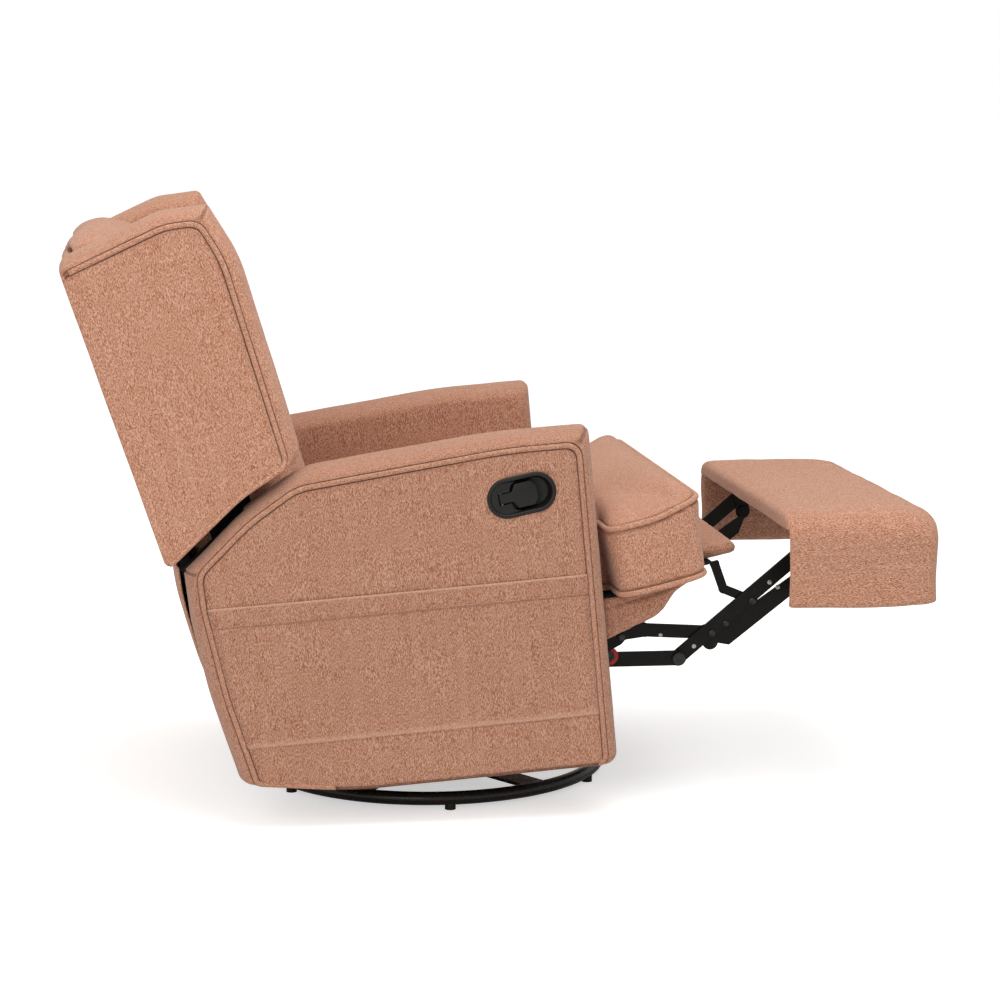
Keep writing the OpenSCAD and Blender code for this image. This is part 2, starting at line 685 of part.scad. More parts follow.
// Back
board_foot = 20;
module back_frame() {
    half = bracket_back_y - body_gap;
    color(pine) in_back() translate([back_rear + back_panel_t + soft_gap, -half, -board_foot])
        cube([back_board_t, 2 * half, wing_top_h - 3 * wing_roll + board_foot]);
}
panel_shares = [[0.5, 0.005], [1, 0.005], [1, 0.99], [0.4, 0.99], [0.06, 0.965], [0.3, 0.25]];
module back_panel() {
    half = wing_in_y - body_gap;
    color(linen) in_back() plate(-half, half)
        polygon(in_box(panel_shares, [back_rear, wing_foot_h], [back_rear + back_panel_t, wing_top_h]));
}
wing_shares = [[0.045, 0.007], [0.594, 0.146], [1, 0.204], [1, 0.811], [0.923, 0.975], [0.647, 1], [0, 0.952]];
module wing(side) {
    wing_t = wing_half_w - wing_in_y;
    outline = in_box(wing_shares, [back_rear, wing_foot_h], [wing_front, wing_top_h]);
    radii = wing_t * [0.12, 2.5, 0.2, 2.4, 0.15, 2.5, 0.24];
    edge_swell = wing_roll * [0.36, 0.36, 1, 1, 1, 1, 0.12];
    color(linen) on_side(side) in_back() padded_slab(outline, radii, edge_swell, wing_in_y, wing_half_w);
}
// Front face of the back cushion from foot to crown, as shares of its thickness and height
back_cushion_shares = [[0.605, 0], [0.632, 0.056], [0.771, 0.129], [0.961, 0.224], [1, 0.311],
                       [0.976, 0.401], [0.859, 0.507], [0.727, 0.615], [0.617, 0.744],
                       [0.515, 0.872], [0.39, 0.943], [0.242, 0.98], [0.133, 0.99]];
back_cushion_foot = 20;
back_u = back_rear + back_panel_t + back_board_t + 2 * soft_gap;
function back_cushion_ring(y, pull) = concat(
    [for (p = in_box(back_cushion_shares, [back_u, back_cushion_foot], [back_u + back_cushion_t, wing_top_h]))
        let (high = max(0, p[1] / wing_top_h - 0.9) * 10)
            [max(back_u + back_cushion_t * 0.08, p[0] - pull), y, p[1] - pull * high]],
    [[back_u, y, wing_top_h * 0.98 - pull], [back_u, y, back_cushion_foot]]);
module back_cushion() {
    half = soft_half_w;
    rim = back_cushion_t * 0.11;
    steps = 12;
    rings = [for (k = [0 : steps]) let (share = cos(180 * k / steps))
        back_cushion_ring(-half * share, rim * pow(abs(share), 6))];
    color(linen) in_back() loft(rings, centre(rings[0]), centre(rings[steps]));
}
module back_bracket(side) {
    margin = recline_boss_r * 0.6;
    rear_u = back_rear + back_panel_t;
    front_u = rear_u + back_board_t + margin;
    top_w = wing_foot_h - margin;
    color(black_steel) on_side(side) in_back() difference() {
        plate(bracket_back_y, bracket_back_y + side_plate_t) {
            polygon([[rear_u, 0], [front_u, 0], [recline_u, recline_w - recline_boss_r],
                     [recline_u, recline_w + recline_boss_r],
                     [front_u + 2 * recline_boss_r, recline_w + 3 * recline_boss_r],
                     [front_u, top_w], [rear_u, top_w]]);
            disc([recline_u, recline_w], recline_boss_r);
        }
        rod([recline_u, recline_w], recline_r + pin_gap, bracket_back_y - over, plate_in_y);
    }
}
module recline_pins() {
    color(spring_steel) in_body() for (side = [left, right]) on_side(side)
        rod([recline_x, recline_z], recline_r, bracket_back_y, plate_in_y + side_plate_t);
}

// Footrest linkage
module torque_tube() {
    half = lower_y;
    color(black_steel) in_body() difference() {
        translate([lower_pivot[0] - torque_tube_w / 2, -half, lower_pivot[1] - torque_tube_w / 2])
            cube([torque_tube_w, 2 * half, torque_tube_w]);
        rod(lower_pivot, torque_tube_w * 0.4, -half - over, half + over);
    }
}
module lower_link(side) {
    color(black_steel) on_side(side) in_body() {
        plate(lower_y, lower_y + link_t) strip(lower_pivot, knee_pivot, link_r);
        rod(lower_pivot, pin_r, lower_y, plate_in_y + side_plate_t);
        rod(knee_pivot, pin_r, main_y - body_gap, lower_y);
        rod(knee_pivot, knee_head_r, lower_y, lower_y + link_t + knee_head_t);
    }
}
module main_link(side) {
    color(black_steel) on_side(side) in_body() difference() {
        union() {
            plate(main_y, main_y + link_t) strip(knee_pivot, foot_pivot, link_r);
            rod(cross_pivot, pin_r, upper_y - body_gap, main_y);
            rod(foot_pivot, pin_r, upper_y - body_gap, main_y);
            rod(flipper_pivot, pin_r, upper_y - body_gap, main_y);
        }
        rod(knee_pivot, pin_r + pin_gap, main_y - over, main_y + link_t + over);
    }
}
module upper_link(side) {
    hump = [upper_pivot[0] * 0.7 + cross_pivot[0] * 0.3, upper_pivot[1] + link_r * 0.2];
    color(black_steel) on_side(side) in_body() difference() {
        union() {
            plate(upper_y, upper_y + link_t) {
                strip(upper_pivot, hump, link_r * 0.9);
                strip(hump, cross_pivot, link_r * 0.9);
                strip(cross_pivot, front_pivot, link_r);
            }
            rod(front_pivot, pin_r, front_y - body_gap, upper_y);
        }
        rod(upper_pivot, pin_r + pin_gap, upper_y - over, upper_y + link_t + over);
        rod(cross_pivot, pin_r + open_gap, upper_y - over, upper_y + link_t + over);
    }
}
// The front link bows below the line of its pivots
web_shares = [[0.02, -0.3], [0.1, -1.3], [0.86, -1.3], [0.99, -0.42], [0.98, -0.1], [0.8, 0], [0.1, 0.4]];
module front_link(side) {
    run = foot_arm_pivot - front_pivot;
    color(black_steel) on_side(side) in_body() difference() {
        plate(front_y, front_y + link_t) {
            disc(front_pivot, link_r * 0.9);
            disc(foot_arm_pivot, link_r * 0.75);
            translate(front_pivot) rotate(atan2(run[1], run[0]))
                polygon(in_box(web_shares, [0, 0], [norm(run), 1.5 * link_r]));
        }
        rod(front_pivot, pin_r + pin_gap, front_y - over, front_y + link_t + over);
        rod(foot_arm_pivot, pin_r + open_gap, front_y - over, front_y + link_t + over);
    }
}
module footrest_bracket(side) {
    flange_w = 22;
    flange_t = 3;
    heel = 24;
    toe = 70;
    flank = 8;
    color(black_steel) on_side(side) {
        difference() {
            union() {
                in_body() plate(upper_y, upper_y + link_t) strip(foot_pivot, foot_arm_pivot, link_r);
                in_footrest() plate(upper_y, upper_y + link_t)
                    polygon([[-link_r, -link_r], [link_r, -link_r], [toe, board_bottom - flange_t],
                             [toe, board_bottom - body_gap], [-heel, board_bottom - body_gap],
                             [-heel, board_bottom - flange_t - flank]]);
                in_footrest() translate([-heel, upper_y + link_t - flange_w, board_bottom - flange_t - body_gap])
                    cube([heel + toe, flange_w, flange_t]);
            }
            in_body() rod(foot_pivot, pin_r + pin_gap, upper_y - over, upper_y + link_t + over);
        }
        in_body() rod(foot_arm_pivot, pin_r, front_y - body_gap, upper_y);
    }
}
module footrest_board() {
    end_inset = 20;
    rear_inset = 13;
    front_inset = 8;
    half = footrest_w / 2 - drop_t - end_inset;
    length = footrest_l - drop_t - front_inset - rear_inset;
    color(black_cloth) in_footrest() translate([footrest_back + rear_inset, -half, board_bottom])
        cube([length, 2 * half, footrest_board_t - body_gap]);
}
module footrest_cover() {
    half = footrest_w / 2;
    plan = [[footrest_back, -half], [footrest_front, -half], [footrest_front, half], [footrest_back, half]];
    edge = 18;
    steps = 5;
    radii = edge * [0.45, 1.2, 1.2, 0.45];
    foot = [for (p = rounded(plan, radii, 5)) [p[0], p[1], footrest_bottom]];
    top_rings = [for (k = [0 : steps]) let (a = 90 * k / steps, d = edge * (1 - cos(a)) * 0.45)
        [for (p = rounded(inset(plan, d), radii, 5)) [p[0], p[1], footrest_top - edge * (1 - sin(a)) * 0.6]]];
    middle = (footrest_back + footrest_front) / 2;
    crown_h = footrest_foam_t / 3;
    color(linen) in_footrest() difference() {
        loft(concat([foot], top_rings), [middle, 0, footrest_bottom], [middle, 0, footrest_top + crown_h]);
        translate([footrest_back - over, drop_t - half, footrest_bottom - over])
            cube([footrest_l - drop_t + over, 2 * (half - drop_t), board_top - footrest_bottom + over]);
    }
}
module flipper_frame() {
    in_body() translate([flipper_back_x, 0, flipper_z]) rotate([0, -seat_pitch, 0]) children();
}
module flipper_pad() {
    r = flipper_t / 2;
    color(linen_dark) flipper_frame() plate(-flipper_half_w, flipper_half_w) union() {
        translate([r * 0.6, 0]) square([flipper_l - r * 1.6, flipper_t]);
        disc([flipper_l - r, r], r);
        translate([0, r * 0.6]) square([r, flipper_t - r * 0.6]);
    }
}
module flipper_bracket(side) {
    elbow = flipper_pivot + flipper_elbow;
    head = flipper_pivot + flipper_head;
    foot_w = 30;
    flange_t = 3;
    flange_x = 4;
    flange_l = 16;
    color(black_steel) on_side(side) {
        difference() {
            in_body() plate(upper_y, upper_y + link_t) {
                strip(flipper_pivot, elbow, link_r * 0.6);
                strip(elbow, head, link_r * 0.6);
                disc(flipper_pivot, link_r * 0.75);
            }
            in_body() rod(flipper_pivot, pin_r + pin_gap, upper_y - over, upper_y + link_t + over);
            flipper_frame() translate([-flipper_l, 0, -body_gap]) cube([3 * flipper_l, arm_out_y, flipper_l]);
        }
        flipper_frame() translate([flange_x, flipper_half_w - foot_w, -flange_t - body_gap])
            cube([flange_l, upper_y + link_t - flipper_half_w + foot_w, flange_t]);
    }
}

base_ring();
base_cross_bars();
base_feet();
bearing_lower_plate();
bearing_balls();
swivel_pin();
bearing_upper_plate();
glide_bracket(left);  // glide_bracket_left
glide_bracket(right);  // glide_bracket_right
swing_link(left, 1);  // swing_link_front_left
swing_link(right, 1);  // swing_link_front_right
swing_link(left, -1);  // swing_link_rear_left
swing_link(right, -1);  // swing_link_rear_right
glide_rail(left);  // glide_rail_left
glide_rail(right);  // glide_rail_right
frame_rail(frame_rail_front_x);  // frame_rail_front
frame_rail(frame_rail_rear_x);  // frame_rail_rear
mechanism_plate(left);  // mechanism_plate_left
mechanism_plate(right);  // mechanism_plate_right
seat_rail(rail_front_s);  // seat_rail_front
seat_rail(rail_rear_s);  // seat_rail_rear
seat_springs();
seat_deck();
seat_cushion();
front_border();
arm(left);  // arm_left
arm(right);  // arm_right
arm_frame(left);  // arm_frame_left
arm_frame(right);  // arm_frame_right
side_pocket(left);  // side_pocket_left
side_pocket(right);  // side_pocket_right
rear_flap();
handle_bezel();
release_paddle();
paddle_pin();
back_frame();
back_panel();
wing(left);  // wing_left
wing(right);  // wing_right
back_cushion();
back_bracket(left);  // back_bracket_left
back_bracket(right);  // back_bracket_right
recline_pins();
torque_tube();
lower_link(left);  // lower_link_left
lower_link(right);  // lower_link_right
upper_link(left);  // upper_link_left
upper_link(right);  // upper_link_right
main_link(left);  // main_link_left
main_link(right);  // main_link_right
front_link(left);  // front_link_left
front_link(right);  // front_link_right
footrest_bracket(left);  // footrest_bracket_left
footrest_bracket(right);  // footrest_bracket_right
footrest_board();
footrest_cover();
flipper_pad();
flipper_bracket(left);  // flipper_bracket_left
flipper_bracket(right);  // flipper_bracket_right
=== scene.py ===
import math

import bmesh
import bpy
import numpy as np
from bpy.props import FloatProperty, FloatVectorProperty, IntProperty, PointerProperty
from mathutils import Matrix, Vector, noise
from mathutils.bvhtree import BVHTree
from mathutils.kdtree import KDTree


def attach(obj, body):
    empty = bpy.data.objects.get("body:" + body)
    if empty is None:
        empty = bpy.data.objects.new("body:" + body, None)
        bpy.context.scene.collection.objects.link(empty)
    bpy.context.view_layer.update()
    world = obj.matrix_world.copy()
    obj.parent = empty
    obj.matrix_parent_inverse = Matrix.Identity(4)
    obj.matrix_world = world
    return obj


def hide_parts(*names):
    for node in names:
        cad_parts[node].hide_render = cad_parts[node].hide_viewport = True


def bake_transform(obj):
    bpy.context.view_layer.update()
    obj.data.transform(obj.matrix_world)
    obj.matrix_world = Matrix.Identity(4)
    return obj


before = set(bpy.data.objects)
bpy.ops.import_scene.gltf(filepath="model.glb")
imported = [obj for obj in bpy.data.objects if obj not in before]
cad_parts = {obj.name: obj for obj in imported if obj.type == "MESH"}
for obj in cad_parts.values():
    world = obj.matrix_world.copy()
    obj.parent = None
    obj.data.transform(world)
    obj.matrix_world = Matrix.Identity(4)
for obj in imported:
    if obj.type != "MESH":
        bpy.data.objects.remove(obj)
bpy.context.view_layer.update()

bl_info = {
    "name": "Swivel glider recliner",
    "version": (1, 0, 0),
    "blender": (4, 5, 0),
    "location": "3D Viewport > Sidebar > Recliner",
    "description": "Upholstery, hardware and studio for a wing-backed swivel glider recliner",
    "category": "Object",
}

# Frames of the chair, metres: the body pitches on its rails, the back, seat and footrest sit in it
BODY = Matrix.Translation((-0.093, 0, 0)) @ Matrix.Rotation(math.radians(-4), 4, "Y")
BACK = BODY @ Matrix.Translation((-0.230, 0, 0.300)) @ Matrix.Rotation(math.radians(-13), 4, "Y")
SEAT = BODY @ Matrix.Translation((0.433, 0, 0.353)) @ Matrix.Rotation(math.radians(-9), 4, "Y")
FOOTREST = BODY @ Matrix.Translation((0.628, 0, 0.377)) @ Matrix.Rotation(math.radians(4), 4, "Y")
FILLER = BODY @ Matrix.Translation((0.439, 0, 0.356)) @ Matrix.Rotation(math.radians(-9), 4, "Y")
HANDLE = BODY @ Matrix.Translation((0.138, 0, 0.516)) @ Matrix.Rotation(math.radians(-8), 4, "Y")

ARM_IN, ARM_OUT = 0.277, 0.382
ARM_OUTLINE = [(0.269, 0.069), (0.2571, 0.612), (0.100, 0.612), (-0.196, 0.584), (-0.295, 0.524),
               (-0.391, 0.4399),
               (-0.3877, 0.3601), (-0.3672, 0.2352), (-0.3323, 0.0962), (-0.1501, 0.069)]
ARM_RADII = [0.0158, 0.013, 0.903, 0.126, 0.315, 0.011, 0.21, 0.315, 0.016, 0.504]
ARM_SEAM_RADII = [0.012, 0.020, 0.903, 0.080, 0.315, 0.0290, 0.21, 0.315, 0.008, 0.504]
WING_IN, WING_OUT = 0.275, 0.374
WING_OUTLINE = [(-0.150, 0.180), (-0.004, 0.254), (0.104, 0.2851), (0.106, 0.610), (0.0835, 0.6976),
                (0.010, 0.710), (-0.162, 0.6853)]
WING_RADII = [0.0119, 0.250, 0.026, 0.240, 0.010, 0.100, 0.024]
WING_SEAM_RADII = [0.006, 0.250, 0.0198, 0.200, 0.025, 0.100, 0.011]
SOFT_HALF = 0.270
HANDLE_HALF = (0.055, 0.032)


class RECLINER_PG_sizes(bpy.types.PropertyGroup):
    """Sizes of the seams and the padding"""
    welt_width: FloatProperty(name="Welt width", description="Width of the piping that shows",
                              default=0.0082, unit="LENGTH")
    welt_rise: FloatProperty(name="Welt rise", description="Height of the piping over the cloth",
                             default=0.0032, unit="LENGTH")
    seam_depth: FloatProperty(name="Seam depth", description="Depth of the groove beside the piping",
                              default=0.0034, unit="LENGTH")
    cushion_welt: FloatProperty(name="Cushion welt",
                                description="Radius of the fat piping on the seat cushion", default=0.0045,
                                unit="LENGTH")
    panel_crown: FloatProperty(name="Panel crown", description="How far the side panels belly out",
                               default=0.0025, unit="LENGTH")
    stitch_length: FloatProperty(name="Stitch length", description="Length of one stitch", default=0.0040,
                                 unit="LENGTH")
    voxel: FloatProperty(name="Voxel", description="Mesh size of the stuffed cushions", default=0.0055,
                         unit="LENGTH")
    swell_cap: FloatProperty(name="Swell cap", description="How far stuffing may push the cloth out",
                             default=0.024, unit="LENGTH")
    sim_frames: IntProperty(name="Cloth frames", description="Steps of the cushion simulation", default=20,
                            min=1)


class RECLINER_PG_colours(bpy.types.PropertyGroup):
    """Colours of the cloth and the finishes"""
    linen: FloatVectorProperty(name="Linen", description="Main colour of the cover cloth",
                               subtype="COLOR_GAMMA", default=(0.729, 0.521, 0.420), min=0, max=1)
    linen_light: FloatVectorProperty(name="Linen slub", description="Colour of the light slubs",
                                     subtype="COLOR_GAMMA", default=(0.830, 0.664, 0.572), min=0, max=1)
    linen_dark: FloatVectorProperty(name="Linen shade", description="Colour between the threads",
                                    subtype="COLOR_GAMMA", default=(0.578, 0.357, 0.248), min=0, max=1)
    steel: FloatVectorProperty(name="Painted steel", description="Colour of the painted steel",
                               subtype="COLOR_GAMMA", default=(0.070, 0.065, 0.054), min=0, max=1)
    plastic: FloatVectorProperty(name="Plastic", description="Colour of the moulded plastic",
                                 subtype="COLOR_GAMMA", default=(0.105, 0.100, 0.096), min=0, max=1)


class RECLINER_PG_stage(bpy.types.PropertyGroup):
    """Camera and light"""
    lens: FloatProperty(name="Lens", description="Focal length", default=93.6, unit="CAMERA")
    place: FloatVectorProperty(name="Camera place", description="Where the camera stands",
                               subtype="TRANSLATION", default=(-0.5646, -4.3357, 1.1231))
    heading: FloatProperty(name="Heading", description="Turn of the camera from the side view",
                           subtype="ANGLE", default=math.radians(7.77))
    dip: FloatProperty(name="Dip", description="How far the camera looks down", subtype="ANGLE",
                       default=math.radians(8.63))
    sky: FloatProperty(name="Sky", description="Strength of the even light", default=0.62)
    key: FloatProperty(name="Overhead light", description="Power of the large overhead light", default=62.0,
                       unit="POWER")
    fill: FloatProperty(name="Front light", description="Power of the light beside the camera",
                        default=40.0, unit="POWER")


# ---------------------------------------------------------------- plane geometry

def unit(v):
    return v / np.linalg.norm(v)


def inset(points, distances):
    """The outline with each edge moved inwards by its own distance."""
    pts = [np.array(p, float) for p in points]
    n = len(pts)
    d = [distances] * n if np.isscalar(distances) else list(distances)
    out = []
    for i in range(n):
        a, b = unit(pts[i] - pts[i - 1]), unit(pts[(i + 1) % n] - pts[i])
        p = pts[i] + np.array((-a[1], a[0])) * d[i - 1]
        q = pts[i] + np.array((-b[1], b[0])) * d[i]
        c = a[0] * b[1] - a[1] * b[0]
        s = ((q - p)[0] * b[1] - (q - p)[1] * b[0]) / c
        out.append(p + a * s)
    return out


def rounded(points, radii, runs, arc=7):
    """Corners as arcs, with runs[i] - 1 extra points on the straight after corner i.

    Also gives where each corner starts."""
    pts = [np.array(p, float) for p in points]
    n = len(pts)
    arcs = []
    for i in range(n):
        a, b = unit(pts[i - 1] - pts[i]), unit(pts[(i + 1) % n] - pts[i])
        half = math.acos(max(-1, min(1, float(a @ b)))) / 2
        r = radii[i]
        c = pts[i] + unit(a + b) * r / math.sin(half)
        f = pts[i] + a * r / math.tan(half) - c
        t = pts[i] + b * r / math.tan(half) - c
        turn = math.atan2(f[0] * t[1] - f[1] * t[0], float(f @ t))
        arcs.append([c + np.array((f[0] * math.cos(turn * k / arc) - f[1] * math.sin(turn * k / arc),
                                   f[0] * math.sin(turn * k / arc) + f[1] * math.cos(turn * k / arc)))
                                   for k in range(arc + 1)])
    ring, starts = [], []
    for i in range(n):
        starts.append(len(ring))
        ring += arcs[i]
        a, b = arcs[i][-1], arcs[(i + 1) % n][0]
        ring += [a + (b - a) * k / runs[i] for k in range(1, runs[i])]
    return np.array(ring), starts


# ---------------------------------------------------------------- mesh helpers

def new_piece(name, verts, faces, matrix=None, painted_light=None, smooth=True):
    """A closed mesh piece in the row frame, faces outwards, its object at the origin."""
    mesh = bpy.data.meshes.new(name)
    mesh.from_pydata([tuple(map(float, v)) for v in verts], [], [tuple(f) for f in faces])
    if matrix is not None:
        mesh.transform(matrix)
    obj = bpy.data.objects.new(name, mesh)
    bpy.context.scene.collection.objects.link(obj)
    # the per-vertex attribute is painted light on the linen: positive values paint shade, negative values paint
    # highlight
    if painted_light is not None:
        mesh.attributes.new("painted_light", "FLOAT", "POINT").data.foreach_set("value",
                                                                         np.array(painted_light, np.float32))
    outwards(obj)
    if smooth:
        mesh.shade_smooth()
    return obj


def outwards(obj):
    bm = bmesh.new()
    bm.from_mesh(obj.data)
    bmesh.ops.recalc_face_normals(bm, faces=bm.faces)
    if bm.calc_volume(signed=True) < 0:
        bmesh.ops.reverse_faces(bm, faces=bm.faces)
    bm.to_mesh(obj.data)
    bm.free()


def loft(rings, poles=True):
    """Vertices and faces of closed rings of equal count, with a pole at each end."""
    n, m = len(rings[0]), len(rings)
    verts = [tuple(p) for ring in rings for p in ring]
    faces = [(k * n + i, k * n + (i + 1) % n, (k + 1) * n + (i + 1) % n, (k + 1) * n + i)
             for k in range(m - 1) for i in range(n)]
    if poles:
        verts += [tuple(np.mean(rings[0], 0)), tuple(np.mean(rings[-1], 0))]
        a, b = m * n, m * n + 1
        faces += [(a, (i + 1) % n, i) for i in range(n)]
        faces += [(b, (m - 1) * n + i, (m - 1) * n + (i + 1) % n) for i in range(n)]
    return verts, faces


def select_only(*objs):
    bpy.ops.object.select_all(action="DESELECT")
    for o in objs:
        o.select_set(True)
    bpy.context.view_layer.objects.active = objs[0]


def join(name, objs):
    select_only(*objs)
    bpy.ops.object.join()
    objs[0].name = name
    objs[0].data.name = name
    return objs[0]


def modify(obj, kind, **values):
    m = obj.modifiers.new(kind.title(), kind)
    for k, v in values.items():
        setattr(m, k, v)
    select_only(obj)
    bpy.ops.object.modifier_apply(modifier=m.name)
    return obj


def surface(mesh):
    """Every vertex place and normal, read in one go."""
    places, normals = np.empty(len(mesh.vertices) * 3), np.empty(len(mesh.vertices) * 3)
    mesh.vertices.foreach_get("co", places)
    mesh.vertex_normals.foreach_get("vector", normals)
    return places.reshape(-1, 3), normals.reshape(-1, 3)


def put(mesh, places):
    mesh.vertices.foreach_set("co", np.asarray(places, np.float32).ravel())
    mesh.update()


def ruffle(obj, height, size, seed):
    """Soft unevenness of stuffed cloth, along the normals."""
    places, normals = surface(obj.data)
    shift = np.array((seed * 1.7, seed * 0.9, seed * 2.3))
    lift = []
    for p in places / size + shift:
        p = Vector(p)
        lift.append(noise.noise(p) + 0.5 * noise.noise(p * 2.1))
    put(obj.data, places + normals * height * np.array(lift)[:, None])


def tube(name, path, normals, half_width, rise, closed=False, sides=12, matrix=None):
    """Piping along a path, its section an oval, its flat side towards the cloth."""
    path, normals = np.array(path, float), np.array(normals, float)
    n = len(path)
    verts = []
    for i in range(n):
        if closed:
            t = path[(i + 1) % n] - path[i - 1]
        else:
            t = path[min(i + 1, n - 1)] - path[max(i - 1, 0)]
        t = unit(t)
        up = unit(normals[i] - t * (normals[i] @ t))
        side = np.cross(t, up)
        for k in range(sides):
            a = 2 * math.pi * k / sides
            verts.append(path[i] + side * half_width * math.cos(a) + up * rise * math.sin(a))
    faces = []
    for i in range(n if closed else n - 1):
        j = (i + 1) % n
        faces += [(i * sides + k, i * sides + (k + 1) % sides, j * sides + (k + 1) % sides,
                   j * sides + k) for k in range(sides)]
    if not closed:
        verts += [path[0], path[-1]]
        a, b = n * sides, n * sides + 1
        faces += [(a, (k + 1) % sides, k) for k in range(sides)]
        faces += [(b, (n - 1) * sides + k, (n - 1) * sides + (k + 1) % sides) for k in range(sides)]
    return new_piece(name, verts, faces, matrix, painted_light=np.zeros(len(verts)))


def resample(path, step, closed=False):
    """The path with points a step apart."""
    p = np.array(path, float)
    if closed:
        p = np.vstack([p, p[:1]])
    run = np.concatenate([[0], np.cumsum(np.linalg.norm(np.diff(p, axis=0), axis=1))])
    count = max(2, int(round(run[-1] / step)))
    at = np.linspace(0, run[-1], count + 1)
    out = np.stack([np.interp(at, run, p[:, k]) for k in range(p.shape[1])], 1)
    return out[:-1] if closed else out


def stitches(name, paths, length, normal, lift, matrix):
    """Short thread stitches lying along lines."""
    verts, faces = [], []
    w, h = 0.0006, 0.0005
    for path in paths:
        pts = resample(path, length * 1.45)
        for a, b in zip(pts[:-1], pts[1:]):
            t = unit(b - a)
            side = np.cross(t, normal)
            c = a + np.array(normal) * lift
            base = len(verts)
            for s, e in ((0, 0.3), (0.18, 1), (0.82, 1), (1, 0.3)):
                q = c + t * length * s
                for x, y in ((-w, 0), (0, h), (w, 0), (0, -h)):
                    verts.append(q + side * x * e + np.array(normal) * y * e)
            for k in range(3):
                for i in range(4):
                    j = (i + 1) % 4
                    faces.append((base + 4 * k + i, base + 4 * k + j, base + 4 * k + 4 + j,
                                  base + 4 * k + 4 + i))
            faces += [(base + 3, base + 2, base + 1, base), (base + 12, base + 13, base + 14, base + 15)]
    return new_piece(name, verts, faces, matrix)


# ---------------------------------------------------------------- materials

def linear(colour):
    return tuple(c / 12.92 if c <= 0.04045 else ((c + 0.055) / 1.055) ** 2.4 for c in colour) + (1.0,)


class Shade:
    """A material under construction: nodes added and linked by name."""

    def __init__(self, name):
        self.material = bpy.data.materials.new(name)
        self.material.use_nodes = True
        self.tree = self.material.node_tree
        self.skin = self.tree.nodes["Principled BSDF"]

    def add(self, kind, **values):
        node = self.tree.nodes.new("ShaderNode" + kind)
        for k, v in values.items():
            if hasattr(node, k):
                setattr(node, k, v)
            else:
                node.inputs[k].default_value = v
        return node

    def link(self, a, b):
        self.tree.links.new(a, b)

    def place(self, scale, turn=(0, 0, 0)):
        """Object places, turned into the piece's own frame and then stretched."""
        coord, turned, scaled = self.add("TexCoord"), self.add("Mapping"), self.add("Mapping")
        turned.inputs["Rotation"].default_value = turn
        scaled.inputs["Scale"].default_value = scale
        self.link(coord.outputs["Object"], turned.inputs["Vector"])
        self.link(turned.outputs["Vector"], scaled.inputs["Vector"])
        return scaled.outputs["Vector"]

    def noise(self, vector, scale, detail=2.0, rough=0.5, distortion=0.0):
        node = self.add("TexNoise", Scale=scale, Detail=detail, Roughness=rough, Distortion=distortion)
        self.link(vector, node.inputs["Vector"])
        return node.outputs["Fac"]

    def ramp(self, value, low, high, a=0.0, b=1.0):
        node = self.add("MapRange")
        for k, v in zip(("From Min", "From Max", "To Min", "To Max"), (low, high, a, b)):
            node.inputs[k].default_value = v
        self.link(value, node.inputs["Value"])
        return node.outputs["Result"]

    def sum(self, kind, a, b):
        node = self.add("Math", operation=kind)
        for socket, value in zip(node.inputs, (a, b)):
            if isinstance(value, (int, float)):
                socket.default_value = value
            else:
                self.link(value, socket)
        return node.outputs[0]

    def mix(self, factor, a, b, blend="MIX"):
        node = self.add("Mix", data_type="RGBA", blend_type=blend)
        for socket, value in zip((node.inputs[0], node.inputs[6], node.inputs[7]), (factor, a, b)):
            if isinstance(value, (int, float)):
                socket.default_value = value
            elif isinstance(value, tuple):
                socket.default_value = value
            else:
                self.link(value, socket)
        return node.outputs[2]

    def bump(self, height, distance, strength=1.0, under=None):
        node = self.add("Bump")
        node.inputs["Distance"].default_value = distance
        node.inputs["Strength"].default_value = strength
        self.link(height, node.inputs["Height"])
        if under is not None:
            self.link(under, node.inputs["Normal"])
        return node.outputs["Normal"]


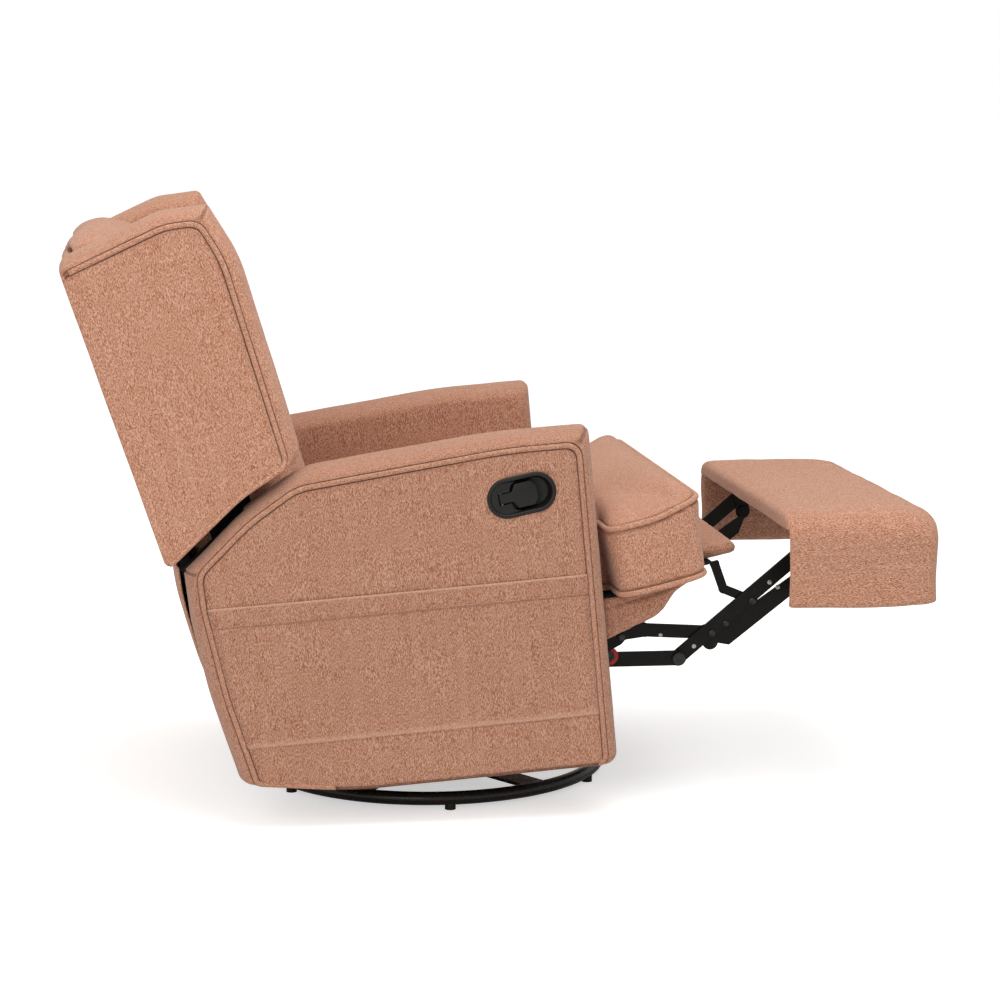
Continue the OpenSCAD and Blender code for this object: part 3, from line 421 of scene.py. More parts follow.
def linen_cloth(name, turn=(0, 0, 0), tone=1.0, with_painted_light=True):
    """Heathered linen weave: ribs along the cloth's length, slubs, flecks and a fine bump. A brightness factor
    makes lighter or darker copies of the cloth as painted light and shade, and the per-vertex attribute paints
    shade in seams and folds and highlights on folded edges.
    """
    c = bpy.context.scene.recliner_colours
    s = Shade(name)
    # painted light and shade: every colour of the cloth is scaled by the piece's brightness factor
    base = tuple(x * tone for x in linear(c.linen)[:3]) + (1.0,)
    light = tuple(x * tone for x in linear(c.linen_light)[:3]) + (1.0,)
    dark = tuple(x * tone for x in linear(c.linen_dark)[:3]) + (1.0,)
    warp = s.place((1, 1, 0.24), turn)
    weft = s.place((0.30, 0.30, 1), turn)
    plain = s.place((1, 1, 1), turn)
    rib = s.noise(warp, 1150, 1.0, 0.5)
    cross = s.noise(weft, 1150, 1.0, 0.5)
    fleck = s.noise(plain, 1400, 1.0, 0.5)
    cloud = s.noise(plain, 9, 3.0, 0.5)
    streak = s.noise(s.place((1, 1, 0.03), turn), 120, 2.0, 0.5)
    thread = s.sum("ADD", s.sum("MULTIPLY", rib, 0.58),
                   s.sum("ADD", s.sum("MULTIPLY", cross, 0.14), s.sum("MULTIPLY", fleck, 0.28)))
    colour = s.mix(s.ramp(thread, 0.41, 0.50), dark, base)
    colour = s.mix(s.ramp(thread, 0.50, 0.59, 0.0, 1.0), colour, light)
    colour = s.mix(s.ramp(streak, 0.50, 0.70, 0.0, 0.16), colour, light)
    colour = s.mix(s.ramp(cloud, 0.35, 0.75, 0.0, 0.07), colour, dark)
    # painted shade: positive attribute values darken seam grooves and folds towards near black
    if with_painted_light:
        edge = s.add("Attribute", attribute_name="painted_light")
        seam = s.ramp(edge.outputs["Fac"], 0.0, 1.0, 0.0, 0.85)
        colour = s.mix(seam, colour, tuple(x * 0.16 for x in dark[:3]) + (1.0,))
        # painted highlight: negative attribute values lighten folded edges
        colour = s.mix(s.ramp(edge.outputs["Fac"], 0.0, -1.0, 0.0, 0.55), colour,
                       tuple(min(1.0, x * 1.18) for x in light[:3]) + (1.0,))
    s.link(colour, s.skin.inputs["Base Color"])
    s.skin.inputs["Roughness"].default_value = 0.95
    s.skin.inputs["Specular IOR Level"].default_value = 0.10
    s.skin.inputs["Sheen Weight"].default_value = 0.20
    s.skin.inputs["Sheen Roughness"].default_value = 0.5
    s.skin.inputs["Sheen Tint"].default_value = (1.0, 0.95, 0.88, 1.0)
    soft = s.bump(s.noise(plain, 26, 2.0, 0.5), 0.004, 0.16)
    s.link(s.bump(thread, 0.0013, 0.9, soft), s.skin.inputs["Normal"])
    return s.material


def painted_steel(name, gloss=0.34, shine=0.14):
    """Black stove paint over stamped steel: faint orange peel, dust and rubbed patches."""
    c = bpy.context.scene.recliner_colours
    s = Shade(name)
    p = s.place((1, 1, 1))
    dark = linear(c.steel)
    dust = s.ramp(s.noise(p, 38, 5.0, 0.62), 0.50, 0.78)
    s.link(s.mix(s.sum("MULTIPLY", dust, 0.22), dark, linear((0.20, 0.185, 0.16))),
           s.skin.inputs["Base Color"])
    s.link(s.ramp(s.noise(p, 22, 4.0, 0.6), 0.3, 0.7, gloss - 0.07, gloss + 0.16),
           s.skin.inputs["Roughness"])
    s.skin.inputs["Specular IOR Level"].default_value = shine
    s.link(s.bump(s.noise(p, 520, 2.0, 0.5), 0.0004, 0.35, s.bump(s.noise(p, 60, 2.0, 0.5), 0.0012, 0.12)),
           s.skin.inputs["Normal"])
    return s.material


def moulded_plastic(name):
    """Fine spark-eroded texture of a moulded black part."""
    c = bpy.context.scene.recliner_colours
    s = Shade(name)
    p = s.place((1, 1, 1))
    grain = s.noise(p, 1500, 2.0, 0.6)
    s.link(s.mix(s.ramp(s.noise(p, 60, 3.0, 0.6), 0.4, 0.8, 0.0, 0.30), linear(c.plastic),
                 linear((0.15, 0.145, 0.14))), s.skin.inputs["Base Color"])
    s.link(s.ramp(grain, 0.3, 0.7, 0.30, 0.46), s.skin.inputs["Roughness"])
    s.skin.inputs["Specular IOR Level"].default_value = 0.28
    s.link(s.bump(grain, 0.0003, 0.5), s.skin.inputs["Normal"])
    return s.material


def bright_zinc(name, colour=(0.70, 0.69, 0.66)):
    """Zinc-plated rivets, pins and springs with a spangled, slightly dull skin."""
    s = Shade(name)
    p = s.place((1, 1, 1))
    s.link(s.mix(s.ramp(s.noise(p, 160, 3.0, 0.6), 0.35, 0.7), linear(colour),
                 linear(tuple(x * 0.72 for x in colour))), s.skin.inputs["Base Color"])
    s.skin.inputs["Metallic"].default_value = 1.0
    s.link(s.ramp(s.noise(p, 420, 3.0, 0.6), 0.3, 0.7, 0.24, 0.46), s.skin.inputs["Roughness"])
    s.link(s.bump(s.noise(p, 700, 2.0, 0.5), 0.0002, 0.4), s.skin.inputs["Normal"])
    return s.material


def red_fibre(name):
    """Red pressed-fibre washer: mottled and matt."""
    s = Shade(name)
    p = s.place((1, 1, 1))
    s.link(s.mix(s.ramp(s.noise(p, 300, 3.0, 0.6), 0.35, 0.7), linear((0.78, 0.09, 0.07)),
                 linear((0.55, 0.05, 0.05))), s.skin.inputs["Base Color"])
    s.skin.inputs["Roughness"].default_value = 0.6
    s.link(s.bump(s.noise(p, 600, 2.0, 0.5), 0.0002, 0.3), s.skin.inputs["Normal"])
    return s.material


def pine_wood(name):
    """Rough-sawn pine: stretched rings, knots' shade and saw marks."""
    s = Shade(name)
    along = s.place((6, 0.6, 6))
    rings = s.noise(along, 14, 4.0, 0.6, 0.8)
    saw = s.noise(s.place((1, 22, 1)), 30, 2.0, 0.5)
    s.link(s.mix(s.ramp(rings, 0.35, 0.65), linear((0.80, 0.66, 0.47)), linear((0.66, 0.49, 0.31))),
           s.skin.inputs["Base Color"])
    s.skin.inputs["Roughness"].default_value = 0.78
    s.link(s.bump(s.sum("ADD", rings, s.sum("MULTIPLY", saw, 0.6)), 0.001, 0.4), s.skin.inputs["Normal"])
    return s.material


def dust_cloth(name):
    """Black non-woven cloth with a tiny pressed dot grid."""
    s = Shade(name)
    p = s.place((1, 1, 1))
    fibre = s.noise(s.place((1, 4, 1)), 380, 4.0, 0.7)
    dots = s.add("TexVoronoi", Scale=420.0)
    s.link(p, dots.inputs["Vector"])
    s.link(s.mix(s.ramp(fibre, 0.3, 0.7), linear((0.085, 0.083, 0.082)), linear((0.15, 0.146, 0.142))),
           s.skin.inputs["Base Color"])
    s.skin.inputs["Roughness"].default_value = 0.95
    s.skin.inputs["Specular IOR Level"].default_value = 0.15
    s.link(s.bump(s.sum("ADD", fibre, dots.outputs["Distance"]), 0.0008, 0.5), s.skin.inputs["Normal"])
    return s.material


MATERIALS = {}


def finish_of(name, *args, **kw):
    """Each material is made once and shared."""
    makers = {"linen": linen_cloth, "steel": painted_steel, "plastic": moulded_plastic, "zinc": bright_zinc,
              "pine": pine_wood, "dust": dust_cloth, "red": red_fibre}
    if name not in MATERIALS:
        MATERIALS[name] = makers[name.split("_")[0]](name, *args, **kw)
    return MATERIALS[name]


PITCH = {"body": math.radians(4), "back": math.radians(17), "seat": math.radians(13), "level": 0.0}


def linen_for(frame_name, laid=False, tone=1.0):
    """Linen whose length runs up the named frame, or along its depth where it is laid down; a brightness factor
    other than 1 gives a lighter or darker copy of it, painted light and shade.
    """
    turn = (0, PITCH[frame_name] + (math.pi / 2 if laid else 0), 0)
    name = f"linen_{frame_name}" + (f"_{laid}" if laid else "") + (f"_{int(tone * 100)}" if tone != 1 else "")
    return finish_of(name, turn, tone)


def dress(obj, material, body=None, replaces=()):
    obj.data.materials.clear()
    obj.data.materials.append(material)
    if body:
        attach(obj, body)
    if replaces:
        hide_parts(*replaces)
    return obj


# ---------------------------------------------------------------- upholstered slabs

def slab(name, outline, radii, seam_radii, runs, edges, y_in, y_out, crown, seam_depth, matrix, bare=(),
         mitres=(), steps=22):
    """A padded slab: rolled edges between two side faces, the outer one framed by a seam groove.
    bare lists the edges without a groove, mitres the corners with a seam across the roll."""
    mid, half = (y_in + y_out) / 2, (y_out - y_in) / 2
    rings, painted_light = [], []
    grow = max(edges)
    _, starts = rounded(outline, radii, runs)
    count = len(rounded(outline, radii, runs)[0])
    grooved = np.ones(count)
    for e in bare:
        first, last = starts[e] + 4, starts[(e + 1) % len(outline)] + 3
        if last <= first:
            last += count
        for i in range(first, last):
            grooved[i % count] = 0
    mitre = np.zeros(count)
    for c in mitres:
        mitre[starts[c] + 3] = mitre[starts[c] + 4] = 1

    def ring(share_in, y, dip=0.0, further=0.0):
        blend = [max(0.002, r * (1 - share_in) + q * share_in - further * 0.5) for r,
                 q in zip(radii, seam_radii)]
        pts, _ = rounded(inset(outline, [e * share_in + further * min(1, e / 0.015) for e in edges]), blend,
                         runs)
        return np.stack([pts[:, 0], y - dip * grooved, pts[:, 1]], 1)

    inner = ring(1, y_in)
    centre = inner.mean(0)
    for s in (0.25, 0.55, 0.8, 0.94):
        rings.append(centre + (inner - centre) * s + np.array((0, -0.4 * crown * (1 - s * s), 0)))
        painted_light.append(np.zeros(count))
    for k in range(steps + 1):
        share = k / steps
        inwards = grow * (1 - math.sin(math.pi * share))
        if share > 0.5 and inwards > grow * 0.62:
            continue
        r = ring(1 - math.sin(math.pi * share), mid - half * math.cos(math.pi * share))
        if share > 0.45:
            pull = 0.0011 * mitre * min(1, (share - 0.45) / 0.1)
            r[:, 1] -= pull
            r += (r.mean(0) - r) * (pull / 0.2)[:, None]
        rings.append(r)
        # painted shade along the mitre seam across the roll
        painted_light.append(mitre * 0.55 if share > 0.5 else np.zeros(count))
    # rings of the seam groove: offset from the edge, dip of the groove, and painted shade beside the welt
    for d, dip, dark in ((-0.0062, 0, 0), (-0.0048, 0.35, 0.7), (-0.0028, 0.9, 0.5), (0, 1.0, 0.2),
                         (0.0028, 0.9, 0.7), (0.0048, 0.35, 1), (0.0062, 0, 0.1), (0.013, -0.12, 0)):
        lift = half * math.sqrt(max(0, 1 - (min(0, d) / grow) ** 2)) - half
        rings.append(ring(1, y_out + lift, seam_depth * dip, d))
        painted_light.append(dark * grooved)
    outer = rings[-1]
    centre = outer.mean(0)
    for s in (0.93, 0.84, 0.72, 0.56, 0.38, 0.18):
        rings.append(centre + (outer - centre) * s + np.array((0, crown * (1 - s ** 3), 0)))
        painted_light.append(np.zeros(count))
    verts, faces = loft(rings)
    return new_piece(name, verts, faces, matrix, painted_light=np.concatenate(painted_light + [[0, 0]]))


def paint_shade_black(obj, matrix, a, b, reach, depth, side, out):
    """Painted shade: black dust cloth on the faces near the edge from a to b, further in than depth from the
    outer side, where the gap between the pieces lies in shadow.
    """
    a, b = np.array(a), np.array(b)
    along = unit(b - a)
    across = np.array((-along[1], along[0]))
    back = matrix.inverted()
    painted_shade_cloth = finish_of("dust_lining")
    obj.data.materials.append(painted_shade_cloth)
    for f in obj.data.polygons:
        p = back @ f.center
        q = np.array((p.x, p.z)) - a
        on_line = abs(q @ across) < reach and -0.004 < q @ along < np.linalg.norm(b - a) + 0.004
        if on_line and p.y * side < out - depth:
            f.material_index = len(obj.data.materials) - 1


def seam_path(outline, radii, runs, edges, y, first, last):
    """The line of a welt on the side face, from the end of corner first to the start of corner last."""
    pts, starts = rounded(inset(outline, edges), radii, runs)
    n = len(pts)
    a, b = starts[first], starts[last]
    if b <= a:
        b += n
    path = [pts[i % n] for i in range(a, b + 1)]
    return np.array([(p[0], y, p[1]) for p in path])


def mirrored(obj, side):
    """The same piece on the other side of the middle plane."""
    if side > 0:
        return obj
    obj.data.transform(Matrix.Scale(-1, 4, (0, 1, 0)))
    outwards(obj)
    return obj


ARM_RUNS = [26, 8, 14, 5, 6, 4, 6, 6, 8, 18]
ARM_EDGES = [0.025, 0.025, 0.027, 0.018, 0.018, 0.0225, 0.025, 0.025, 0.006, 0.006]
WING_RUNS = [9, 7, 16, 6, 6, 10, 24]
WING_EDGES = [0.0058, 0.0058, 0.028, 0.027, 0.0245, 0.0245, 0.003]


class RECLINER_OT_arms(bpy.types.Operator):
    """Both arms: padded roll, framed side panel and welt"""
    bl_idname = "recliner.arms"
    bl_label = "Arms"

    def execute(self, context):
        z = context.scene.recliner_sizes
        for side, word in ((1, "left"), (-1, "right")):
            arm = slab("arm_cover_" + word, ARM_OUTLINE, ARM_RADII, ARM_SEAM_RADII, ARM_RUNS, ARM_EDGES,
                       ARM_IN, ARM_OUT,
                       z.panel_crown, z.seam_depth, BODY, mitres=(1, 5))
            if side < 0:
                mirrored(arm, side)
                cut = stamped("cut", racetrack(HANDLE_HALF[0] - 0.0035, HANDLE_HALF[1] - 0.0035),
                              -ARM_OUT - 0.03, 0.06, 0, HANDLE)
                modify(arm, "BOOLEAN", object=cut, operation="DIFFERENCE", solver="EXACT")
                bpy.data.objects.remove(cut)
            ruffle(arm, 0.0007, 0.07, 3 + side)
            arm.data.shade_smooth()
            path = seam_path(ARM_OUTLINE, ARM_SEAM_RADII, ARM_RUNS, ARM_EDGES,
                             ARM_OUT - z.seam_depth * 0.45, 0, 9)
            path = resample(path, 0.005)
            welt = tube("arm_welt_" + word, path, [(0, 1, 0)] * len(path), z.welt_width / 2, z.welt_rise,
                        matrix=BODY)
            mirrored(welt, side)
            # painted shade: the arm cover and its welt use darker copies of the linen, and black cloth deep in
            # the slot under the wing stands in for its shadow
            dress(arm, linen_for("body", False, 0.88), "seat_body", ["arm_" + word])
            paint_shade_black(arm, BODY, ARM_OUTLINE[5], ARM_OUTLINE[4], 0.016, 0.040, side, ARM_OUT)
            dress(welt, linen_for("body", "laid", 0.94), "seat_body")
        return {"FINISHED"}


class RECLINER_OT_pockets(bpy.types.Operator):
    """Sewn pockets on the outer side panels, each with a stitched hem"""
    bl_idname = "recliner.pockets"
    bl_label = "Side pockets"

    def execute(self, context):
        z = context.scene.recliner_sizes
        ring, _ = rounded(inset(ARM_OUTLINE, [e + 0.0045 for e in ARM_EDGES]), ARM_RADII, ARM_RUNS)
        low, high, hem = 0.156, 0.382, 0.033

        def span(h):
            xs = []
            for a, b in zip(ring, np.roll(ring, -1, 0)):
                if (a[1] - h) * (b[1] - h) <= 0 and abs(a[1] - b[1]) > 1e-9:
                    xs.append(a[0] + (b[0] - a[0]) * (h - a[1]) / (b[1] - a[1]))
            return min(xs), max(xs)

        for side, word in ((1, "left"), (-1, "right")):
            rows = [low - 0.001, low, low + 0.0018, low + 0.0034]
            rows += list(np.linspace(low + 0.01, high - hem - 0.002, 22)) + [high - hem, high - hem + 0.0012]
            rows += list(np.linspace(high - hem + 0.004, high - 0.004, 5)) + [high - 0.0015, high, high + 0.0004]
            cols = 48
            verts, faces, painted_light = [], [], []
            for j, h in enumerate(rows):
                a, b = span(h)
                # painted highlight along the hem's folded top edge and the lower seam, painted shade along the
                # hem fold
                painted_light += [-0.9 if h > high - 0.0022 else -0.75 if low < h < low + 0.004 else 0.16
                           if abs(h - high + hem) < 0.002 else 0.0] * (cols + 1)
                for i in range(cols + 1):
                    s = i / cols
                    x = a + (b - a) * s
                    across = math.sin(math.pi * s)
                    t = (h - low) / (high - low)
                    mouth = 0.0018 * across ** 0.6 * max(0, t) ** 2
                    belly = z.panel_crown * min(1, across * 1.6)
                    thick = 0.0011 if h > high - hem else 0.0
                    lip = 0.0010 * max(0, 1 - abs(h - (high - 0.002)) / 0.004)
                    tuck = 0.0009 * math.exp(-((h - (high - hem)) / 0.0016) ** 2)
                    seam = 0.0012 * math.exp(-((h - low - 0.004) / 0.0035) ** 2)
                    verts.append((x, ARM_OUT + belly + 0.0006 + mouth + thick + lip - tuck + seam, h))
            for j in range(len(rows) - 1):
                for i in range(cols):
                    k = j * (cols + 1) + i
                    faces.append((k, k + 1, k + cols + 2, k + cols + 1))
            pocket = new_piece("pocket_" + word, verts, faces, BODY, painted_light=painted_light)
            mirrored(pocket, side)
            normal = pocket.data.polygons[0].normal
            if normal.y * side < 0:
                pocket.data.flip_normals()
            ruffle(pocket, 0.0006, 0.05, 11 + side)
            modify(pocket, "SOLIDIFY", thickness=0.0016, offset=-1)
            outwards(pocket)
            pocket.data.shade_smooth()
            # painted shade: the pocket uses a darker copy of the linen
            dress(pocket, linen_for("body", False, 0.86), "seat_body", ["side_pocket_" + word])
            lines = []
            a, b = span(high - hem)
            out = ARM_OUT + z.panel_crown + 0.0028

            def line(x0, z0, x1, z1):
                return [(x0 + (x1 - x0) * k / 20,
                         out + 0.0016 * math.sin(math.pi * min(1,
                                                               max(0, ((x0 + (x1 - x0) * k / 20) - a)
                                                                   / (b - a)))) ** 0.6
                         * ((z0 + (z1 - z0) * k / 20 - low) / (high - low)) ** 2,
                         z0 + (z1 - z0) * k / 20) for k in range(21)]
            lines.append(line(a + 0.006, high - hem + 0.0035, b - 0.004, high - hem + 0.0035))
            for x in (a + 0.046, b - 0.040):
                lines.append(line(x, high - hem + 0.004, x, high - 0.006))
            thread = stitches("pocket_stitches_" + word, lines, z.stitch_length, (0, 1, 0), 0.0, BODY)
            mirrored(thread, side)
            # painted highlight: the stitches use a lighter copy of the linen
            dress(thread, linen_for("body", "laid", 1.12), "seat_body")
        return {"FINISHED"}


class RECLINER_OT_wings(bpy.types.Operator):
    """Both wings of the back: padded roll, framed side panel and welt"""
    bl_idname = "recliner.wings"
    bl_label = "Wings"

    def execute(self, context):
        z = context.scene.recliner_sizes
        for side, word in ((1, "left"), (-1, "right")):
            wing = slab("wing_cover_" + word, WING_OUTLINE, WING_RADII, WING_SEAM_RADII, WING_RUNS,
                        WING_EDGES, WING_IN, WING_OUT,
                        z.panel_crown, z.seam_depth, BACK, bare=(6,), mitres=(4,))
            mirrored(wing, side)
            ruffle(wing, 0.0007, 0.08, 21 + side)
            edges = [e if e > 0.005 else 0.0045 for e in WING_EDGES]
            path = seam_path(WING_OUTLINE, WING_SEAM_RADII, WING_RUNS, edges,
                             WING_OUT - z.seam_depth * 0.45, 0, 6)
            path = resample(path[4:], 0.005)
            welt = tube("wing_welt_" + word, path, [(0, 1, 0)] * len(path), z.welt_width / 2, z.welt_rise,
                        matrix=BACK)
            mirrored(welt, side)
            dress(wing, linen_for("back"), "back", ["wing_" + word])
            # painted shade: black cloth on the wing's lower edge, deep in the slot above the arm, stands in for
            # its shadow; the welt uses a lighter copy of the linen as painted highlight
            paint_shade_black(wing, BACK, WING_OUTLINE[0], WING_OUTLINE[1], 0.010, 0.014, side, WING_OUT)
            dress(welt, linen_for("back", "laid", 1.04), "back")
        return {"FINISHED"}


class RECLINER_OT_back_panel(bpy.types.Operator):
    """Outside back between the wings, turned over the top"""
    bl_idname = "recliner.back_panel"
    bl_label = "Outside back"

    def execute(self, context):
        half = WING_IN - 0.0006
        profile = [(-0.1465, 0.180), (-0.1535, 0.30), (-0.1605, 0.50), (-0.1614, 0.62), (-0.1616, 0.650),
                   (-0.1605, 0.666), (-0.1580, 0.677),
                   (-0.1540, 0.6850), (-0.1490, 0.6890), (-0.1430, 0.6890), (-0.1390, 0.681),
                   (-0.1370, 0.652), (-0.1325, 0.642),
                   (-0.1325, 0.50), (-0.1325, 0.30), (-0.1325, 0.180)]
        rings = []
        steps = 44
        dense = resample(profile, 0.012, closed=True)
        for k in range(steps + 1):
            s = -math.cos(math.pi * k / steps)
            edge = abs(s) ** 14
            ring = []
            for p in dense:
                out = max(0.0, -(p[0] + 0.1325) / 0.030)
                u = p[0] - 0.0015 * (1 - s * s) * out + edge * 0.008 * out
                near_top = max(0, (p[1] - 0.66) / 0.045)
                w = p[1] + 0.004 * (1 - s * s) * near_top - edge * 0.004 * near_top
                ring.append((u, half * s, w))
            rings.append(np.array(ring))
        verts, faces = loft(rings)
        panel = new_piece("outside_back", verts, faces, BACK, painted_light=np.zeros(len(verts)))
        ruffle(panel, 0.0006, 0.09, 31)
        dress(panel, linen_for("back"), "back", ["back_panel"])
        return {"FINISHED"}


def points_tree(points):
    tree = KDTree(len(points))
    for i, p in enumerate(points):
        tree.insert(tuple(p), i)
    tree.balance()
    return tree


def stuff(obj, seams, fill_pressure, cap):
    """Stuffing by cloth simulation: the seam lines hold, the cloth between them swells."""
    z = bpy.context.scene.recliner_sizes
    modify(obj, "REMESH", mode="VOXEL", voxel_size=z.voxel)
    before = surface(obj.data)[0]
    group = obj.vertex_groups.new(name="seams")
    lines = np.vstack([resample(s, 0.004) for s in seams])
    tree = points_tree(lines)
    held = [max(0.0, min(1.0, (0.011 - tree.find(p)[2]) / 0.006)) for p in before]
    for i, w in enumerate(held):
        if w > 0:
            group.add([i], w, "REPLACE")
    m = obj.modifiers.new("Cloth", "CLOTH")
    c = m.settings
    c.use_pressure = True
    c.uniform_pressure_force = fill_pressure
    c.effector_weights.gravity = 0
    c.vertex_group_mass = "seams"
    c.pin_stiffness = 3
    c.quality = 4
    m.collision_settings.use_collision = False
    m.point_cache.frame_start, m.point_cache.frame_end = 1, z.sim_frames
    scene = bpy.context.scene
    for f in range(1, z.sim_frames + 1):
        scene.frame_set(f)
    select_only(obj)
    bpy.ops.object.modifier_apply(modifier=m.name)
    scene.frame_set(1)
    move = surface(obj.data)[0] - before
    far = np.linalg.norm(move, axis=1)
    scale = np.where(far > 1e-9, cap * np.tanh(far / cap) / np.maximum(far, 1e-9), 0)
    put(obj.data, before + move * scale[:, None])
    modify(obj, "SMOOTH", iterations=4, factor=0.5)
    obj.data.shade_smooth()
    return obj


T_PLAN = [(-0.638, -0.270), (-0.150, -0.270), (-0.150, -0.372), (0, -0.372), (0, 0.372), (-0.150, 0.372),
          (-0.150, 0.270), (-0.638, 0.270)]
T_RADII = [0.028, 0.008, 0.028, 0.028, 0.028, 0.028, 0.008, 0.028]
T_RUNS = [30, 6, 9, 46, 9, 6, 30, 34]
CUSHION_T = 0.121


def front_rise(x):
    """How much higher the cushion's top seam runs towards its front edge."""
    t = min(1.0, max(0.0, (x + 0.085) / 0.085))
    return 0.017 * t * t * (3 - 2 * t)


def seat_ring(shrink, height, lean=1.0):
    pts, _ = rounded(inset(T_PLAN, shrink), T_RADII, T_RUNS, 5)
    return np.array([(p[0] + max(0, 1 + p[0] / 0.150) * 0.018 * height / CUSHION_T * lean, p[1],
                      height + front_rise(p[0]) * height / CUSHION_T) for p in pts])


class RECLINER_OT_seat_cushion(bpy.types.Operator):
    """T-shaped seat cushion, stuffed, with fat piping round its top and bottom"""
    bl_idname = "recliner.seat_cushion"
    bl_label = "Seat cushion"

    def execute(self, context):
        z = context.scene.recliner_sizes
        crown = 0.036
        rings = [seat_ring(0.012, 0.001), seat_ring(0.005, 0.004), seat_ring(0.003, 0.010),
                 seat_ring(0.004, 0.030), seat_ring(0.005, 0.060),
                 seat_ring(0.005, 0.090), seat_ring(0.004, 0.108), seat_ring(0.006, 0.116)]
        top = seat_ring(0.012, 0.121)
        centre = np.array((-0.10, 0, 0))
        rings.append(top)
        for s in (0.975, 0.94, 0.89, 0.82, 0.72, 0.58, 0.40, 0.20):
            row = []
            for p in top:
                x = centre[0] + (p[0] - centre[0]) * s
                rear = min(1.0, max(0.25, (x + 0.60) / 0.30))
                row.append((x, p[1] * s, 0.121 + front_rise(x) + crown * rear * (1 - s ** 5)))
            rings.append(np.array(row))
        verts, faces = loft(rings)
        cushion = new_piece("seat_cushion_cover", verts, faces)
        upper = [tuple(p) for p in seat_ring(0.004, 0.1155)]
        lower = [tuple(p) for p in seat_ring(0.003, 0.0065)]
        stuff(cushion, [upper + upper[:1], lower + lower[:1]], 4.0, z.swell_cap)
        mesh = cushion.data
        places = surface(mesh)[0]
        places[:, 2] = np.maximum(places[:, 2], 0.0005)
        put(mesh, places)
        mesh.transform(SEAT)
        mesh.attributes.new("painted_light", "FLOAT", "POINT")
        seams = [resample(upper, 0.006, True), resample(lower, 0.006, True)]
        tree = BVHTree.FromObject(cushion, context.evaluated_depsgraph_get())
        welts = []
        for word, seam in zip(("upper", "lower"), seams):
            path, normals = [], []
            for p in seam:
                q = SEAT @ Vector(p)
                hit, normal, _, _ = tree.find_nearest(q)
                path.append(np.array(hit + normal * 0.0006))
                normals.append(np.array(normal))
            path, normals = np.array(path), np.array(normals)
            for _ in range(3):
                path = (np.roll(path, 1, 0) + 2 * path + np.roll(path, -1, 0)) / 4
                normals = (np.roll(normals, 1, 0) + 2 * normals + np.roll(normals, -1, 0)) / 4
            welts.append(tube("seat_welt_" + word, path, normals, z.cushion_welt, z.cushion_welt * 0.95,
                              closed=True))
            tree_of_line = points_tree(resample(path, 0.002, True))
            values = np.zeros(len(mesh.vertices), np.float32)
            mesh.attributes["painted_light"].data.foreach_get("value", values)
            places, normals = surface(mesh)
            d = np.array([tree_of_line.find(p)[2] for p in places])
            # painted shade in the groove beside each welt
            values = np.maximum(values,
                                np.clip(1 - np.abs(d - 0.0052) / 0.0035, 0, 1) * 0.8).astype(np.float32)
            put(mesh, places - normals * (0.0035 * np.exp(-(d / 0.006) ** 2))[:, None])
            mesh.attributes["painted_light"].data.foreach_set("value", values)
        ruffle(cushion, 0.0009, 0.06, 7)
        dress(cushion, linen_for("seat"), "seat_body", ["seat_cushion"])
        # painted highlight: the welts use a lighter copy of the linen
        for w in welts:
            dress(w, linen_for("seat", "laid", 1.04), "seat_body")
        return {"FINISHED"}


